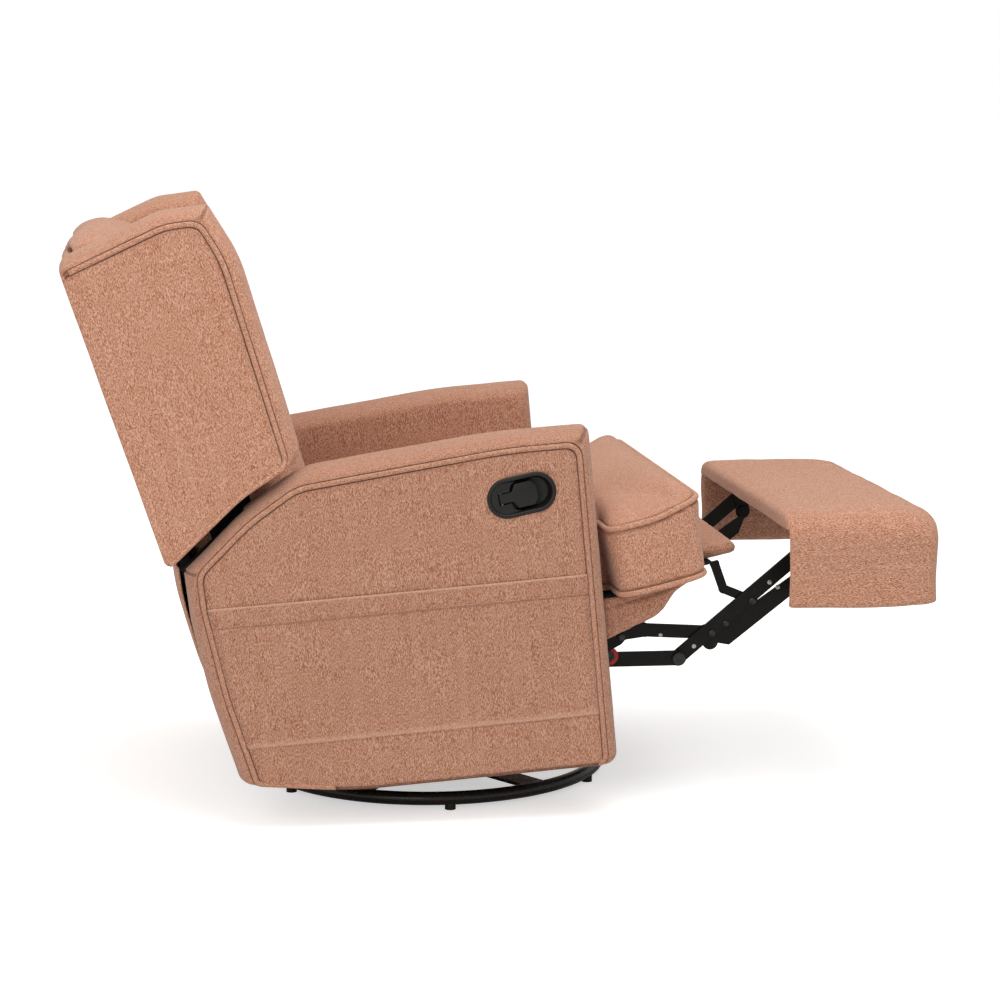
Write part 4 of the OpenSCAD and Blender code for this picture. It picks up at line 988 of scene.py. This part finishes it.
class RECLINER_OT_back_cushion(bpy.types.Operator):
    """Inside back cushion, stuffed, crowned over the top"""
    bl_idname = "recliner.back_cushion"
    bl_label = "Back cushion"

    def execute(self, context):
        z = context.scene.recliner_sizes
        u0, thick, foot, top = -0.112, 0.205, 0.020, 0.7206
        slim, sink = ((0.012, 0.006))
        belly = [(0.012, 0.026), (0.0176, 0.059), (0.052, 0.109), (0.101, 0.175), (0.112, 0.230),
                 (0.105, 0.292), (0.074, 0.368), (0.040, 0.445), (0.0144, 0.534), (-0.0064, 0.615)]
        crown = [(-0.0270, 0.664), (-0.0441, 0.6925), (-0.0627, 0.7046), (-0.0834, 0.7144),
                 (-0.1086, 0.7206), (-0.1270, 0.7200), (-0.1400, 0.7150), (-0.1495, 0.7060),
                 (-0.1510, 0.6985)]
        front = [(u0 + (u - u0) * (1 - slim / thick), w) for u, w in belly]
        front += [(u, w - sink) for u, w in crown]
        line = resample(front, 0.014)
        tail = [(-0.1470, 0.6930), (-0.1400, 0.6905), (-0.1356, 0.684), (-0.1356, 0.660), (-0.1345, 0.650),
                (-0.1250, 0.646), (-0.1130, 0.642)]
        back = tail + [(u0 + 0.002, 0.630 - k * (0.630 - foot - 0.004) / 26) for k in range(27)]
        profile = np.vstack([line, back])
        rings, steps = [], 40
        half = SOFT_HALF - 0.007
        for k in range(steps + 1):
            s = -math.cos(math.pi * k / steps)
            pull = 0.027 * abs(s) ** 6
            ring = []
            for u, w in profile:
                high = max(0, w / top - 0.9) * 10
                ring.append((max(u0 + 0.008, u - pull) if u > u0 + 0.01 else u, half * s,
                             w - pull * 0.7 * high))
            rings.append(np.array(ring))
        verts, faces = loft(rings)
        cushion = new_piece("back_cushion_cover", verts, faces)
        seams = [[(u, side * half, w) for u, w in front] for side in (1, -1)]
        stuff(cushion, seams, 4.0, z.swell_cap)
        places = surface(cushion.data)[0]
        places[:, 1] = np.clip(places[:, 1], -SOFT_HALF - 0.001, SOFT_HALF + 0.001)
        behind = np.clip((places[:, 2] - 0.640) / 0.006, 0, 1)
        over = np.clip((places[:, 2] - 0.692) / 0.010, 0, 1)
        places[:, 0] = np.maximum(places[:, 0], u0 + 0.0005 - 0.0240 * behind - 0.0170 * over)
        places[:, 2] = np.minimum(places[:, 2], 0.7225)
        put(cushion.data, places)
        cushion.data.transform(BACK)
        cushion.data.attributes.new("painted_light", "FLOAT", "POINT")
        ruffle(cushion, 0.0010, 0.08, 9)
        # painted highlight: the cushion uses a slightly lighter copy of the linen
        dress(cushion, linen_for("back", False, 1.02), "back", ["back_cushion"])
        # painted shade: black dust cloth on the cushion's sides low down, seen through the shadowed gap above
        # the arms
        cushion.data.materials.append(finish_of("dust_lining"))
        inwards = BACK.inverted()
        for f in cushion.data.polygons:
            c = inwards @ f.center
            if abs(c.y) > SOFT_HALF - 0.010 and c.z < 0.225 + (c.x + 0.15) * 0.43 and c.x < 0.005:
                f.material_index = 1
        return {"FINISHED"}


class RECLINER_OT_rear_flap(bpy.types.Operator):
    """Cloth that closes the outside back below the wings"""
    bl_idname = "recliner.rear_flap"
    bl_label = "Rear flap"

    def execute(self, context):
        low = np.array((-0.402, 0.215))
        size = np.array((0.045, 0.217))
        line = [low + size * s for s in ((0, 1), (0.04, 0.806), (0.24, 0.576), (0.58, 0.253), (1, 0))]
        line = resample(line, 0.010)
        for _ in range(3):
            line[1:-1] = (line[:-2] + 2 * line[1:-1] + line[2:]) / 4
        half, cols = 0.271, 48
        verts, faces = [], []
        for j, p in enumerate(line):
            t = j / (len(line) - 1)
            for i in range(cols + 1):
                s = i / cols * 2 - 1
                wave = 0.0022 * math.sin(3.1 * math.pi * s + 1) * t + 0.0014 * math.sin(7 * math.pi * s) * t
                slack = 0.0105 * (1 - abs(s) ** 5) * math.sin(math.pi * min(1, t + 0.18)) ** 0.7
                slack *= (1 - t) ** 0.4
                verts.append((p[0] + wave - slack + 0.0016, half * s, p[1]))
        for j in range(len(line) - 1):
            for i in range(cols):
                k = j * (cols + 1) + i
                faces.append((k, k + 1, k + cols + 2, k + cols + 1))
        flap = new_piece("rear_flap_cloth", verts, faces, BODY)
        if flap.data.polygons[0].normal.x > 0:
            flap.data.flip_normals()
        length = float(np.linalg.norm(np.diff(line, axis=0), axis=1).sum())
        modify(flap, "SOLIDIFY", thickness=0.0032, offset=-1)
        outwards(flap)
        modify(flap, "BEVEL", width=0.0012, segments=2, limit_method="ANGLE")
        flap.data.shade_smooth()
        # painted shade: the flap uses a slightly darker copy of the linen
        dress(flap, linen_for("body", False, 0.97), None, ["rear_flap"])
        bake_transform(flap)
        return {"FINISHED"}


class RECLINER_OT_front_border(bpy.types.Operator):
    """Padded border under the cushion's front edge, with its side cheeks"""
    bl_idname = "recliner.front_border"
    bl_label = "Front border"

    def execute(self, context):
        shares = [(1, 1), (0.925, 0.957), (0.72, 0.76), (0.606, 0.467), (0.506, 0.326), (0.344, 0.228),
                  (0, 0)]
        nose = np.array((0.4302, 0.3515))
        back = 0.2655
        line = np.array([(back + s[0] * (nose[0] - back), nose[1] - 0.092 + s[1] * 0.092) for s in shares])
        fall = math.tan(math.radians(9))
        pieces = []
        for side in (1, -1):
            outline = [tuple(p) for p in line[::-1]] + [(nose[0] - 0.0005, nose[1] + 0.0002)]
            outline += [(back, nose[1] - (nose[0] - back) * fall)]
            dense = resample(outline, 0.006, closed=True)
            c = dense.mean(0)
            rings, steps = [], 10
            for k in range(steps + 1):
                share = k / steps
                d = 0.0045 * (1 - math.sin(math.pi * share) ** 0.5)
                y = 0.3165 - 0.0045 * math.cos(math.pi * share)
                rings.append(np.array([(p[0] + (c[0] - p[0]) * d / 0.06, y,
                                        p[1] + (c[1] - p[1]) * d / 0.06) for p in dense]))
            last = rings[-1]
            for s in (0.9, 0.7, 0.4):
                m = last.mean(0)
                rings.append(m + (last - m) * s + np.array((0, 0.0035 * (1 - s * s), 0)))
            verts, faces = loft(rings)
            cheek = new_piece("border_cheek", verts, faces, BODY, painted_light=np.zeros(len(verts)))
            mirrored(cheek, side)
            pieces.append(cheek)
        rail = 0.3686
        top = nose[1] - (nose[0] - rail) * fall
        outline = [(rail, line[3][1] + 0.004), (line[2][0] - 0.004, line[2][1] - 0.002), tuple(line[2]),
                   tuple(line[1]), tuple(nose - (0.0005, 0.0015)), tuple(nose - (0.006, 0.0006)),
                   (rail, top)]
        dense = resample(outline, 0.005, closed=True)
        rings, steps = [], 40
        for k in range(steps + 1):
            s = -math.cos(math.pi * k / steps)
            bulge = 0.002 * (1 - s ** 8) * (1 + 0.4 * math.sin(9 * s))
            c = dense.mean(0)
            rings.append(np.array([(p[0] + (bulge if p[0] > 0.39 else 0), 0.3145 * s,
                                    p[1] - (bulge * 0.8 if p[1] < 0.335 else 0)) for p in dense]))
        verts, faces = loft(rings)
        pieces.append(new_piece("border_nose", verts, faces, BODY, painted_light=np.zeros(len(verts))))
        border = join("front_border_cover", pieces)
        modify(border, "REMESH", mode="VOXEL", voxel_size=0.0034)
        modify(border, "SMOOTH", iterations=4, factor=0.5)
        fold = [(back, side * 0.324, nose[1] - (nose[0] - back) * fall - 0.0145) for side in (-1, 1)]
        fold = [[(f[0] + (nose[0] - 0.004 - f[0]) * k / 20, f[1],
                  f[2] + (nose[1] - 0.006 - f[2]) * (k / 20) ** 1.15) for k in range(21)] for f in fold]
        tree = points_tree(np.array([tuple(BODY @ Vector(q)) for f in fold for q in resample(f, 0.002)]))
        places, normals = surface(border.data)
        far = np.array([tree.find(q)[2] for q in places])
        put(border.data, places - normals * (0.0026 * np.exp(-(far / 0.0032) ** 2))[:, None])
        # painted shade along the fold in the cheek
        seam = (0.75 * np.exp(-(far / 0.0019) ** 2)).astype(np.float32)
        border.data.attributes.new("painted_light", "FLOAT", "POINT").data.foreach_set("value", seam)
        ruffle(border, 0.0016, 0.040, 13)
        border.data.shade_smooth()
        # painted shade: the border uses a darker copy of the linen
        dress(border, linen_for("body", False, 0.90), "seat_body", ["front_border"])
        return {"FINISHED"}


class RECLINER_OT_footrest(bpy.types.Operator):
    """Footrest cover: padded top and three hanging drops, open underneath"""
    bl_idname = "recliner.footrest"
    bl_label = "Footrest cover"

    def execute(self, context):
        back, front, half = -0.061, 0.191, 0.340
        top, bottom = 0.058, -0.094
        plan = [(back, -half), (front, -half), (front, half), (back, half)]
        runs = [20, 44, 20, 44]
        rolls = (0.046, 0.030, 0.046, 0.0125)

        def ring(h, sides=0.0):
            """The cover's outline at one height: each edge rolls over the top with its own radius."""
            d = [r - math.sqrt(max(0.0, r * r - max(0.0, h - top + r) ** 2)) + sides for r in rolls]
            t = max(0.0, (h - top + 0.046) / 0.046)
            pts, _ = rounded(inset(plan, d), [0.009, 0.020 + 0.020 * t, 0.020 + 0.020 * t, 0.009], runs, 6)
            return np.array([(p[0], p[1], h) for p in pts])
        rings = []
        levels = [bottom, bottom + 0.0015,
                  bottom + 0.0045] + [bottom + 0.0045 + (top - 0.046 - bottom - 0.0045) * k / 14
                                      for k in range(1, 15)]
        for k, h in enumerate(levels):
            t = k / (len(levels) - 1)
            r = ring(h, (0.0048, 0.0016, 0.0)[k] if k < 3 else 0.0018 * math.sin(math.pi * t) ** 2)
            mid = np.sin(np.pi * np.clip((r[:, 0] - back) / (front - back), 0, 1))
            r[:, 2] -= 0.0035 * (1 - t) ** 2 * mid * (np.abs(r[:, 1]) > half - 0.03)
            rings.append(r)
        for k in range(1, 15):
            rings.append(ring(top - 0.046 + 0.046 * math.sin(math.pi / 2 * k / 14)))
        open_rows = sum(1 for r in rings if r[0][2] < top - 0.022)
        outer = rings[-1]
        m = np.array(((back + front) / 2, 0, top))
        for s in (0.955, 0.9, 0.8, 0.66, 0.48, 0.28, 0.1):
            flat = m + (outer - m) * (s, s, 1)
            rise = 0.0065 * (1 - ((flat[:, 0] - m[0]) / ((front - back) / 2)) ** 2) ** 0.6
            rise = rise * (1 - np.abs(flat[:, 1] / half) ** 5)
            flat[:, 2] = top + np.maximum(rise, 0)
            rings.append(flat)
        n, count = len(rings[0]), len(rings)
        verts = [tuple(p) for r in rings for p in r] + [(m[0], 0, top + 0.0065)]
        faces = []
        for k in range(count - 1):
            edge = rings[k][:, 0].min() + 0.004
            for i in range(n):
                j = (i + 1) % n
                rear = rings[k][i][0] < edge and rings[k][j][0] < edge and k < open_rows - 1
                if not rear:
                    faces.append((k * n + i, k * n + j, (k + 1) * n + j, (k + 1) * n + i))
        faces += [(count * n, (count - 1) * n + i, (count - 1) * n + (i + 1) % n) for i in range(n)]
        cover = new_piece("footrest_cover_cloth", verts, faces, FOOTREST)
        bm = bmesh.new()
        bm.from_mesh(cover.data)
        bmesh.ops.delete(bm, geom=[v for v in bm.verts if not v.link_faces], context="VERTS")
        bmesh.ops.recalc_face_normals(bm, faces=bm.faces)
        if sum(f.normal.z * f.calc_area() for f in bm.faces) < 0:
            bmesh.ops.reverse_faces(bm, faces=bm.faces)
        bm.to_mesh(cover.data)
        bm.free()
        ruffle(cover, 0.0014, 0.075, 17)
        modify(cover, "SOLIDIFY", thickness=0.0105, offset=-1, use_even_offset=True)
        modify(cover, "BEVEL", width=0.0042, segments=3, limit_method="ANGLE", angle_limit=math.radians(50))
        cover.data.shade_smooth()
        dress(cover, linen_for("level", "laid", 1.0), "footrest", ["footrest_cover"])
        return {"FINISHED"}


class RECLINER_OT_filler(bpy.types.Operator):
    """Small filler pad between the seat and the footrest"""
    bl_idname = "recliner.filler"
    bl_label = "Filler pad"

    def execute(self, context):
        half = 0.234
        profile = [(0.0005, 0.008), (0.006, 0.001), (0.030, 0.0003), (0.059, 0.0002), (0.0655, 0.0026),
                   (0.0690, 0.0085), (0.0680, 0.0150),
                   (0.0610, 0.0195), (0.030, 0.0218), (0.006, 0.0200), (0.0005, 0.0185)]
        dense = resample(profile, 0.004, closed=True)
        c = dense.mean(0)
        rings, steps = [], 48
        for k in range(steps + 1):
            s = -math.cos(math.pi * k / steps)
            pull = 1 - 0.14 * abs(s) ** 16
            rings.append(np.array([(c[0] + (p[0] - c[0]) * (1 - 0.06 * abs(s) ** 12), half * s,
                                    c[1] + (p[1] - c[1]) * pull) for p in dense]))
        verts, faces = loft(rings)
        pad = new_piece("filler_pad_cover", verts, faces, FILLER, painted_light=np.zeros(len(verts)))
        ruffle(pad, 0.0006, 0.03, 19)
        # painted shade: the pad uses a darker copy of the linen
        dress(pad, linen_for("seat", False, 0.93), "filler", ["flipper_pad"])
        return {"FINISHED"}


def racetrack(a, b, count=28):
    """Two half rounds joined by straight sides."""
    turns = [math.pi * i / count - math.pi / 2 for i in range(count + 1)]
    return [(end * (a - b + b * math.cos(t)), end * b * math.sin(t)) for end in (1, -1) for t in turns]


def stamped(name, outline, y, thick, bevel, matrix, segments=3):
    """A flat plate in the XZ plane: a filled outline extruded from y by thick, its edges rounded."""
    bpy.ops.object.select_all(action="DESELECT")
    bpy.ops.mesh.primitive_circle_add(vertices=len(outline), radius=0.02, fill_type="NGON")
    obj = bpy.context.active_object
    obj.name = name
    for v, (x, z) in zip(obj.data.vertices, outline):
        v.co = (x, y, z)
    bpy.ops.object.mode_set(mode="EDIT")
    bpy.ops.mesh.select_all(action="SELECT")
    bpy.ops.mesh.extrude_region_move(TRANSFORM_OT_translate={"value": (0, thick, 0)})
    bpy.ops.mesh.select_all(action="SELECT")
    bpy.ops.mesh.normals_make_consistent(inside=False)
    bpy.ops.object.mode_set(mode="OBJECT")
    if bevel:
        modify(obj, "BEVEL", width=bevel, segments=segments, limit_method="ANGLE")
    obj.data.transform(matrix)
    outwards(obj)
    select_only(obj)
    bpy.ops.object.shade_smooth_by_angle(angle=math.radians(32))
    return obj


class RECLINER_OT_handle(bpy.types.Operator):
    """Moulded racetrack cup and the key-shaped pull paddle in the right arm"""
    bl_idname = "recliner.handle"
    bl_label = "Pull handle"

    def execute(self, context):
        a, b, depth = HANDLE_HALF[0], HANDLE_HALF[1], 0.022
        face = -ARM_OUT
        # cross-section from the outer lip, over the rim, down the cup and across its floor
        section = [(0, 0.0), (0.0, 0.0014), (0.0007, 0.0028), (0.0024, 0.0038), (0.0048, 0.0038),
                   (0.0060, 0.0030), (0.0068, 0.0012),
                   (0.0074, -0.004), (0.0082, -depth + 0.007), (0.0100, -depth + 0.0045),
                   (0.0130, -depth + 0.0032)]
        rings = [np.array([(x, face - h, z) for x, z in racetrack(a - d, b - d)]) for d, h in section]
        for s in (0.7, 0.4):
            rings.append(np.array([(x * s, face + depth - 0.0032, z * s) for x,
                                   z in racetrack(a - 0.013, b - 0.013)]))
        under = [(0.0052, 0.0), (0.0060, -depth + 0.002)]
        rings = [np.array([(x, face - h, z) for x, z in racetrack(a - d, b - d)]) for d,
                 h in reversed(under)] + rings
        rings = [np.array([(x * 0.5, face + depth - 0.002, z * 0.5) for x,
                           z in racetrack(a - 0.006, b - 0.006)])] + rings
        verts, faces = loft(rings)
        cup = new_piece("handle_cup", verts, faces, HANDLE)
        cup.data.set_sharp_from_angle(angle=math.radians(40))
        lip = [(x, z) for x, z in racetrack(a - 0.0066, b - 0.0066) if x < -0.004]
        upper = [p for p in lip if p[1] > 0]
        lower = [p for p in lip if p[1] <= 0]
        key = [(-0.0045, 0.0232), (-0.0100, 0.0222), (-0.0140, 0.0192), (-0.0162, 0.0150),
               (-0.0168, 0.0112), (-0.0178, 0.0094), (-0.0365, 0.0094)]
        outline = sorted(upper, key=lambda p: (p[0], p[1])) + key + [(x, -z) for x, z in key[::-1]]
        outline += sorted(lower, key=lambda p: (-p[0], p[1]))
        plate = stamped("handle_face", outline, face - 0.0016, 0.0030, 0.0007, HANDLE)
        bezel = join("handle_cup", [cup, plate])
        dress(bezel, finish_of("plastic"), "seat_body", ["handle_bezel"])
        half = [(-0.035, 0.0078), (-0.014, 0.0078), (-0.0075, 0.0195), (0.0185, 0.0195), (0.026, 0.0105)]
        paddle = stamped("pull_paddle", [(x, -z) for x, z in half] + half[::-1], face + 0.0010, 0.0065,
                         0.0012, HANDLE)
        dress(paddle, finish_of("plastic"), "paddle", ["release_paddle"])
        return {"FINISHED"}


def button(name, place, axis_side, radius, height, matrix, sides=20, dish=0.0):
    """A rivet or bolt head: a disc extruded, inset and domed, standing on a side face."""
    bpy.ops.object.select_all(action="DESELECT")
    bpy.ops.mesh.primitive_cylinder_add(vertices=sides, radius=radius, depth=height, end_fill_type="NGON")
    obj = bpy.context.active_object
    obj.name = name
    bpy.ops.object.mode_set(mode="EDIT")
    bpy.ops.mesh.select_all(action="DESELECT")
    bm = bmesh.from_edit_mesh(obj.data)
    for f in bm.faces:
        f.select = f.normal.z > 0.9
    bmesh.update_edit_mesh(obj.data)
    bpy.ops.mesh.inset(thickness=radius * 0.30, depth=height * 0.35)
    bpy.ops.mesh.inset(thickness=radius * 0.30, depth=height * 0.12 if not dish else -dish)
    bpy.ops.object.mode_set(mode="OBJECT")
    turn = Matrix.Rotation(math.radians(90 if axis_side < 0 else -90), 4, "X")
    obj.data.transform(matrix @ Matrix.Translation((place[0], axis_side * place[2] + axis_side * height / 2,
                                                    place[1])) @ turn)
    bpy.ops.object.shade_smooth_by_angle(angle=math.radians(30))
    return obj


class RECLINER_OT_hardware(bpy.types.Operator):
    """Rivets, bolt heads and knobs on the linkage"""
    bl_idname = "recliner.hardware"
    bl_label = "Rivets and bolts"

    def execute(self, context):
        spots = {
            "lower_links": [("steel", (0.392, 0.207, 0.2721), 0.0105, 0.0016, 0.0005),
                            ("steel", (0.248, 0.218, 0.2681), 0.010, 0.004, 0)],
            "upper_links": [("zinc", (0.366, 0.2460, 0.2580), 0.0036, 0.0022, 0),
                            ("zinc", (0.4147, 0.2340, 0.2580), 0.0036, 0.0022, 0)],
            "main_links": [("zinc", (0.4197, 0.2230, 0.2630), 0.0036, 0.0006, 0),
                           ("steel", (0.4508, 0.2420, 0.2630), 0.0052, 0.0024, 0.0006),
                           ("steel", (0.4748, 0.2560, 0.2630), 0.0046, 0.0022, 0.0006),
                           ("steel", (0.521, 0.289, 0.2630), 0.0056, 0.0026, 0.0006),
                           ("zinc", (0.5511, 0.3170, 0.2630), 0.0038, 0.0008, 0),
                           ("zinc", (0.5640, 0.3080, 0.2630), 0.0038, 0.0008, 0),
                           ("steel", (0.628, 0.377, 0.2630), 0.0062, 0.0028, 0.0006)],
            "filler": [("zinc", (0.521, 0.289, 0.2580), 0.0045, 0.0016, 0)],
            "seat_body": [("steel", (0.298, 0.254, 0.2770), 0.0062, 0.003, 0),
                          ("zinc", (0.292, 0.330, 0.2770), 0.0045, 0.0022, 0)],
            "back": [],
        }
        washers = [button("washer", (0.278, 0.2215, 0.2680), side, 0.0150, 0.0010, BODY,
                          32) for side in (1, -1)]
        nuts = [button("nut", (0.278, 0.2215, 0.2692), side, 0.0095, 0.0030, BODY, 6,
                       0.001) for side in (1, -1)]
        dress(join("pivot_washers", washers), finish_of("red_washer"), "lower_links")
        dress(join("pivot_nuts", nuts), finish_of("steel_bolt", 0.24, 0.45), "lower_links")
        for body, rows in spots.items():
            for kind in ("steel", "zinc"):
                made = []
                for side in (1, -1):
                    for k, place, radius, height, dish in rows:
                        if k == kind:
                            made.append(button("head", place, side, radius, height, BODY, 20, dish))
                if made:
                    heads = join(f"{body}_{'bolts' if kind == 'steel' else 'rivets'}", made)
                    dress(heads, finish_of("steel_bolt", 0.24,
                                           0.45) if kind == "steel" else finish_of("zinc"), body)
        return {"FINISHED"}


class RECLINER_OT_frame_finish(bpy.types.Operator):
    """Finishes for the steel, wood, springs and deck that stay as they are"""
    bl_idname = "recliner.frame_finish"
    bl_label = "Frame finishes"

    def execute(self, context):
        kinds = {
            "pine": ("frame_rail_front", "frame_rail_rear", "seat_rail_front", "seat_rail_rear",
                     "arm_frame_left", "arm_frame_right"),
            "zinc": ("bearing_balls", "seat_springs", "paddle_pin", "recline_pins"),
            # the back frame wears the black dust cloth as painted shade, standing in for the shadow in the gap
            # where its pine shows
            "dust": ("seat_deck", "footrest_board", "back_frame"),
            "plastic": ("base_feet",),
        }
        of = {n: k for k, names in kinds.items() for n in names}
        for name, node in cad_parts.items():
            if node.hide_render:
                continue
            kind = of.get(name, "steel")
            node.data.materials.clear()
            node.data.materials.append(finish_of("steel_ring", 0.20,
                                                 0.35) if name in ("base_ring",
                                                                   "base_cross_bars") else finish_of(kind))
            node.data.shade_smooth()
            node.data.set_sharp_from_angle(angle=math.radians(28))
        return {"FINISHED"}


class RECLINER_OT_stage(bpy.types.Operator):
    """Pale floor, soft studio light and the camera"""
    bl_idname = "recliner.stage"
    bl_label = "Studio"

    def execute(self, context):
        st = context.scene.recliner_stage
        scene = context.scene
        bpy.ops.object.select_all(action="DESELECT")
        bpy.ops.mesh.primitive_plane_add(size=80, location=(0, 0, 0))
        floor = context.active_object
        floor.name = "studio_floor"
        s = Shade("pale_floor")
        s.skin.inputs["Base Color"].default_value = (0.86, 0.86, 0.86, 1)
        s.skin.inputs["Roughness"].default_value = 0.9
        s.skin.inputs["Specular IOR Level"].default_value = 0.0
        path = s.add("LightPath")
        seen = path.outputs["Is Camera Ray"]
        glow = s.add("Emission", Strength=0.53)
        glow.inputs["Color"].default_value = (1, 1, 1, 1)
        both = s.add("AddShader")
        pick = s.add("MixShader")
        s.link(s.skin.outputs[0], both.inputs[0])
        s.link(glow.outputs[0], both.inputs[1])
        s.link(seen, pick.inputs[0])
        s.link(s.skin.outputs[0], pick.inputs[1])
        s.link(both.outputs[0], pick.inputs[2])
        s.link(pick.outputs[0], s.tree.nodes["Material Output"].inputs["Surface"])
        floor.data.materials.append(s.material)

        world = bpy.data.worlds.new("studio_sky")
        scene.world = world
        world.use_nodes = True
        tree = world.node_tree
        sky = tree.nodes["Background"]
        sky.inputs["Color"].default_value = (1.0, 0.99, 0.975, 1)
        sky.inputs["Strength"].default_value = st.sky
        white = tree.nodes.new("ShaderNodeBackground")
        white.inputs["Color"].default_value = (1.0, 1.0, 1.0, 1)
        white.inputs["Strength"].default_value = 1.0
        path = tree.nodes.new("ShaderNodeLightPath")
        mix = tree.nodes.new("ShaderNodeMixShader")
        tree.links.new(path.outputs["Is Camera Ray"], mix.inputs[0])
        tree.links.new(sky.outputs[0], mix.inputs[1])
        tree.links.new(white.outputs[0], mix.inputs[2])
        tree.links.new(mix.outputs[0], tree.nodes["World Output"].inputs["Surface"])

        for name, place, size, power in (("overhead_panel", (0.4, -0.8, 3.2), 2.6, st.key),
                                         ("front_panel", (-1.8, -3.4, 1.9), 2.2, st.fill)):
            light = bpy.data.lights.new(name, "AREA")
            light.size = size
            light.energy = power
            lamp = bpy.data.objects.new(name, light)
            scene.collection.objects.link(lamp)
            lamp.location = place
            lamp.rotation_mode = "QUATERNION"
            lamp.rotation_quaternion = (Vector((0, 0, 0.45)) - Vector(place)).to_track_quat("-Z", "Y")

        data = bpy.data.cameras.new("photo_camera")
        data.lens = st.lens
        data.sensor_width = 36
        data.clip_end = 200
        camera = bpy.data.objects.new("photo_camera", data)
        scene.collection.objects.link(camera)
        camera.location = st.place
        ahead = Vector((math.sin(st.heading) * math.cos(st.dip), math.cos(st.heading) * math.cos(st.dip),
                        -math.sin(st.dip)))
        camera.rotation_mode = "QUATERNION"
        camera.rotation_quaternion = ahead.to_track_quat("-Z", "Y")
        scene.camera = camera
        scene.view_settings.view_transform = "Standard"
        return {"FINISHED"}


class RECLINER_PT_panel(bpy.types.Panel):
    """Lists what the add-on makes"""
    bl_label = "Recliner"
    bl_idname = "RECLINER_PT_panel"
    bl_space_type = "VIEW_3D"
    bl_region_type = "UI"
    bl_category = "Recliner"

    def draw(self, context):
        scene = context.scene
        for group in (scene.recliner_sizes, scene.recliner_colours, scene.recliner_stage):
            box = self.layout.box()
            for key in group.bl_rna.properties.keys():
                if key not in ("rna_type", "name"):
                    box.prop(group, key)
        for op in OPERATORS:
            self.layout.operator(op.bl_idname)


GROUPS = (RECLINER_PG_sizes, RECLINER_PG_colours, RECLINER_PG_stage)
OPERATORS = (RECLINER_OT_stage, RECLINER_OT_arms, RECLINER_OT_pockets, RECLINER_OT_wings,
             RECLINER_OT_back_panel,
             RECLINER_OT_back_cushion, RECLINER_OT_rear_flap, RECLINER_OT_seat_cushion,
             RECLINER_OT_front_border,
             RECLINER_OT_footrest, RECLINER_OT_filler, RECLINER_OT_handle, RECLINER_OT_hardware,
             RECLINER_OT_frame_finish)


def register():
    for cls in GROUPS + OPERATORS + (RECLINER_PT_panel,):
        bpy.utils.register_class(cls)
    bpy.types.Scene.recliner_sizes = PointerProperty(type=RECLINER_PG_sizes)
    bpy.types.Scene.recliner_colours = PointerProperty(type=RECLINER_PG_colours)
    bpy.types.Scene.recliner_stage = PointerProperty(type=RECLINER_PG_stage)


def unregister():
    del bpy.types.Scene.recliner_sizes, bpy.types.Scene.recliner_colours, bpy.types.Scene.recliner_stage
    for cls in reversed(GROUPS + OPERATORS + (RECLINER_PT_panel,)):
        bpy.utils.unregister_class(cls)


def main():
    register()
    for op in OPERATORS:
        getattr(bpy.ops.recliner, op.bl_idname.split(".")[1])()


if __name__ == "__main__":
    main()
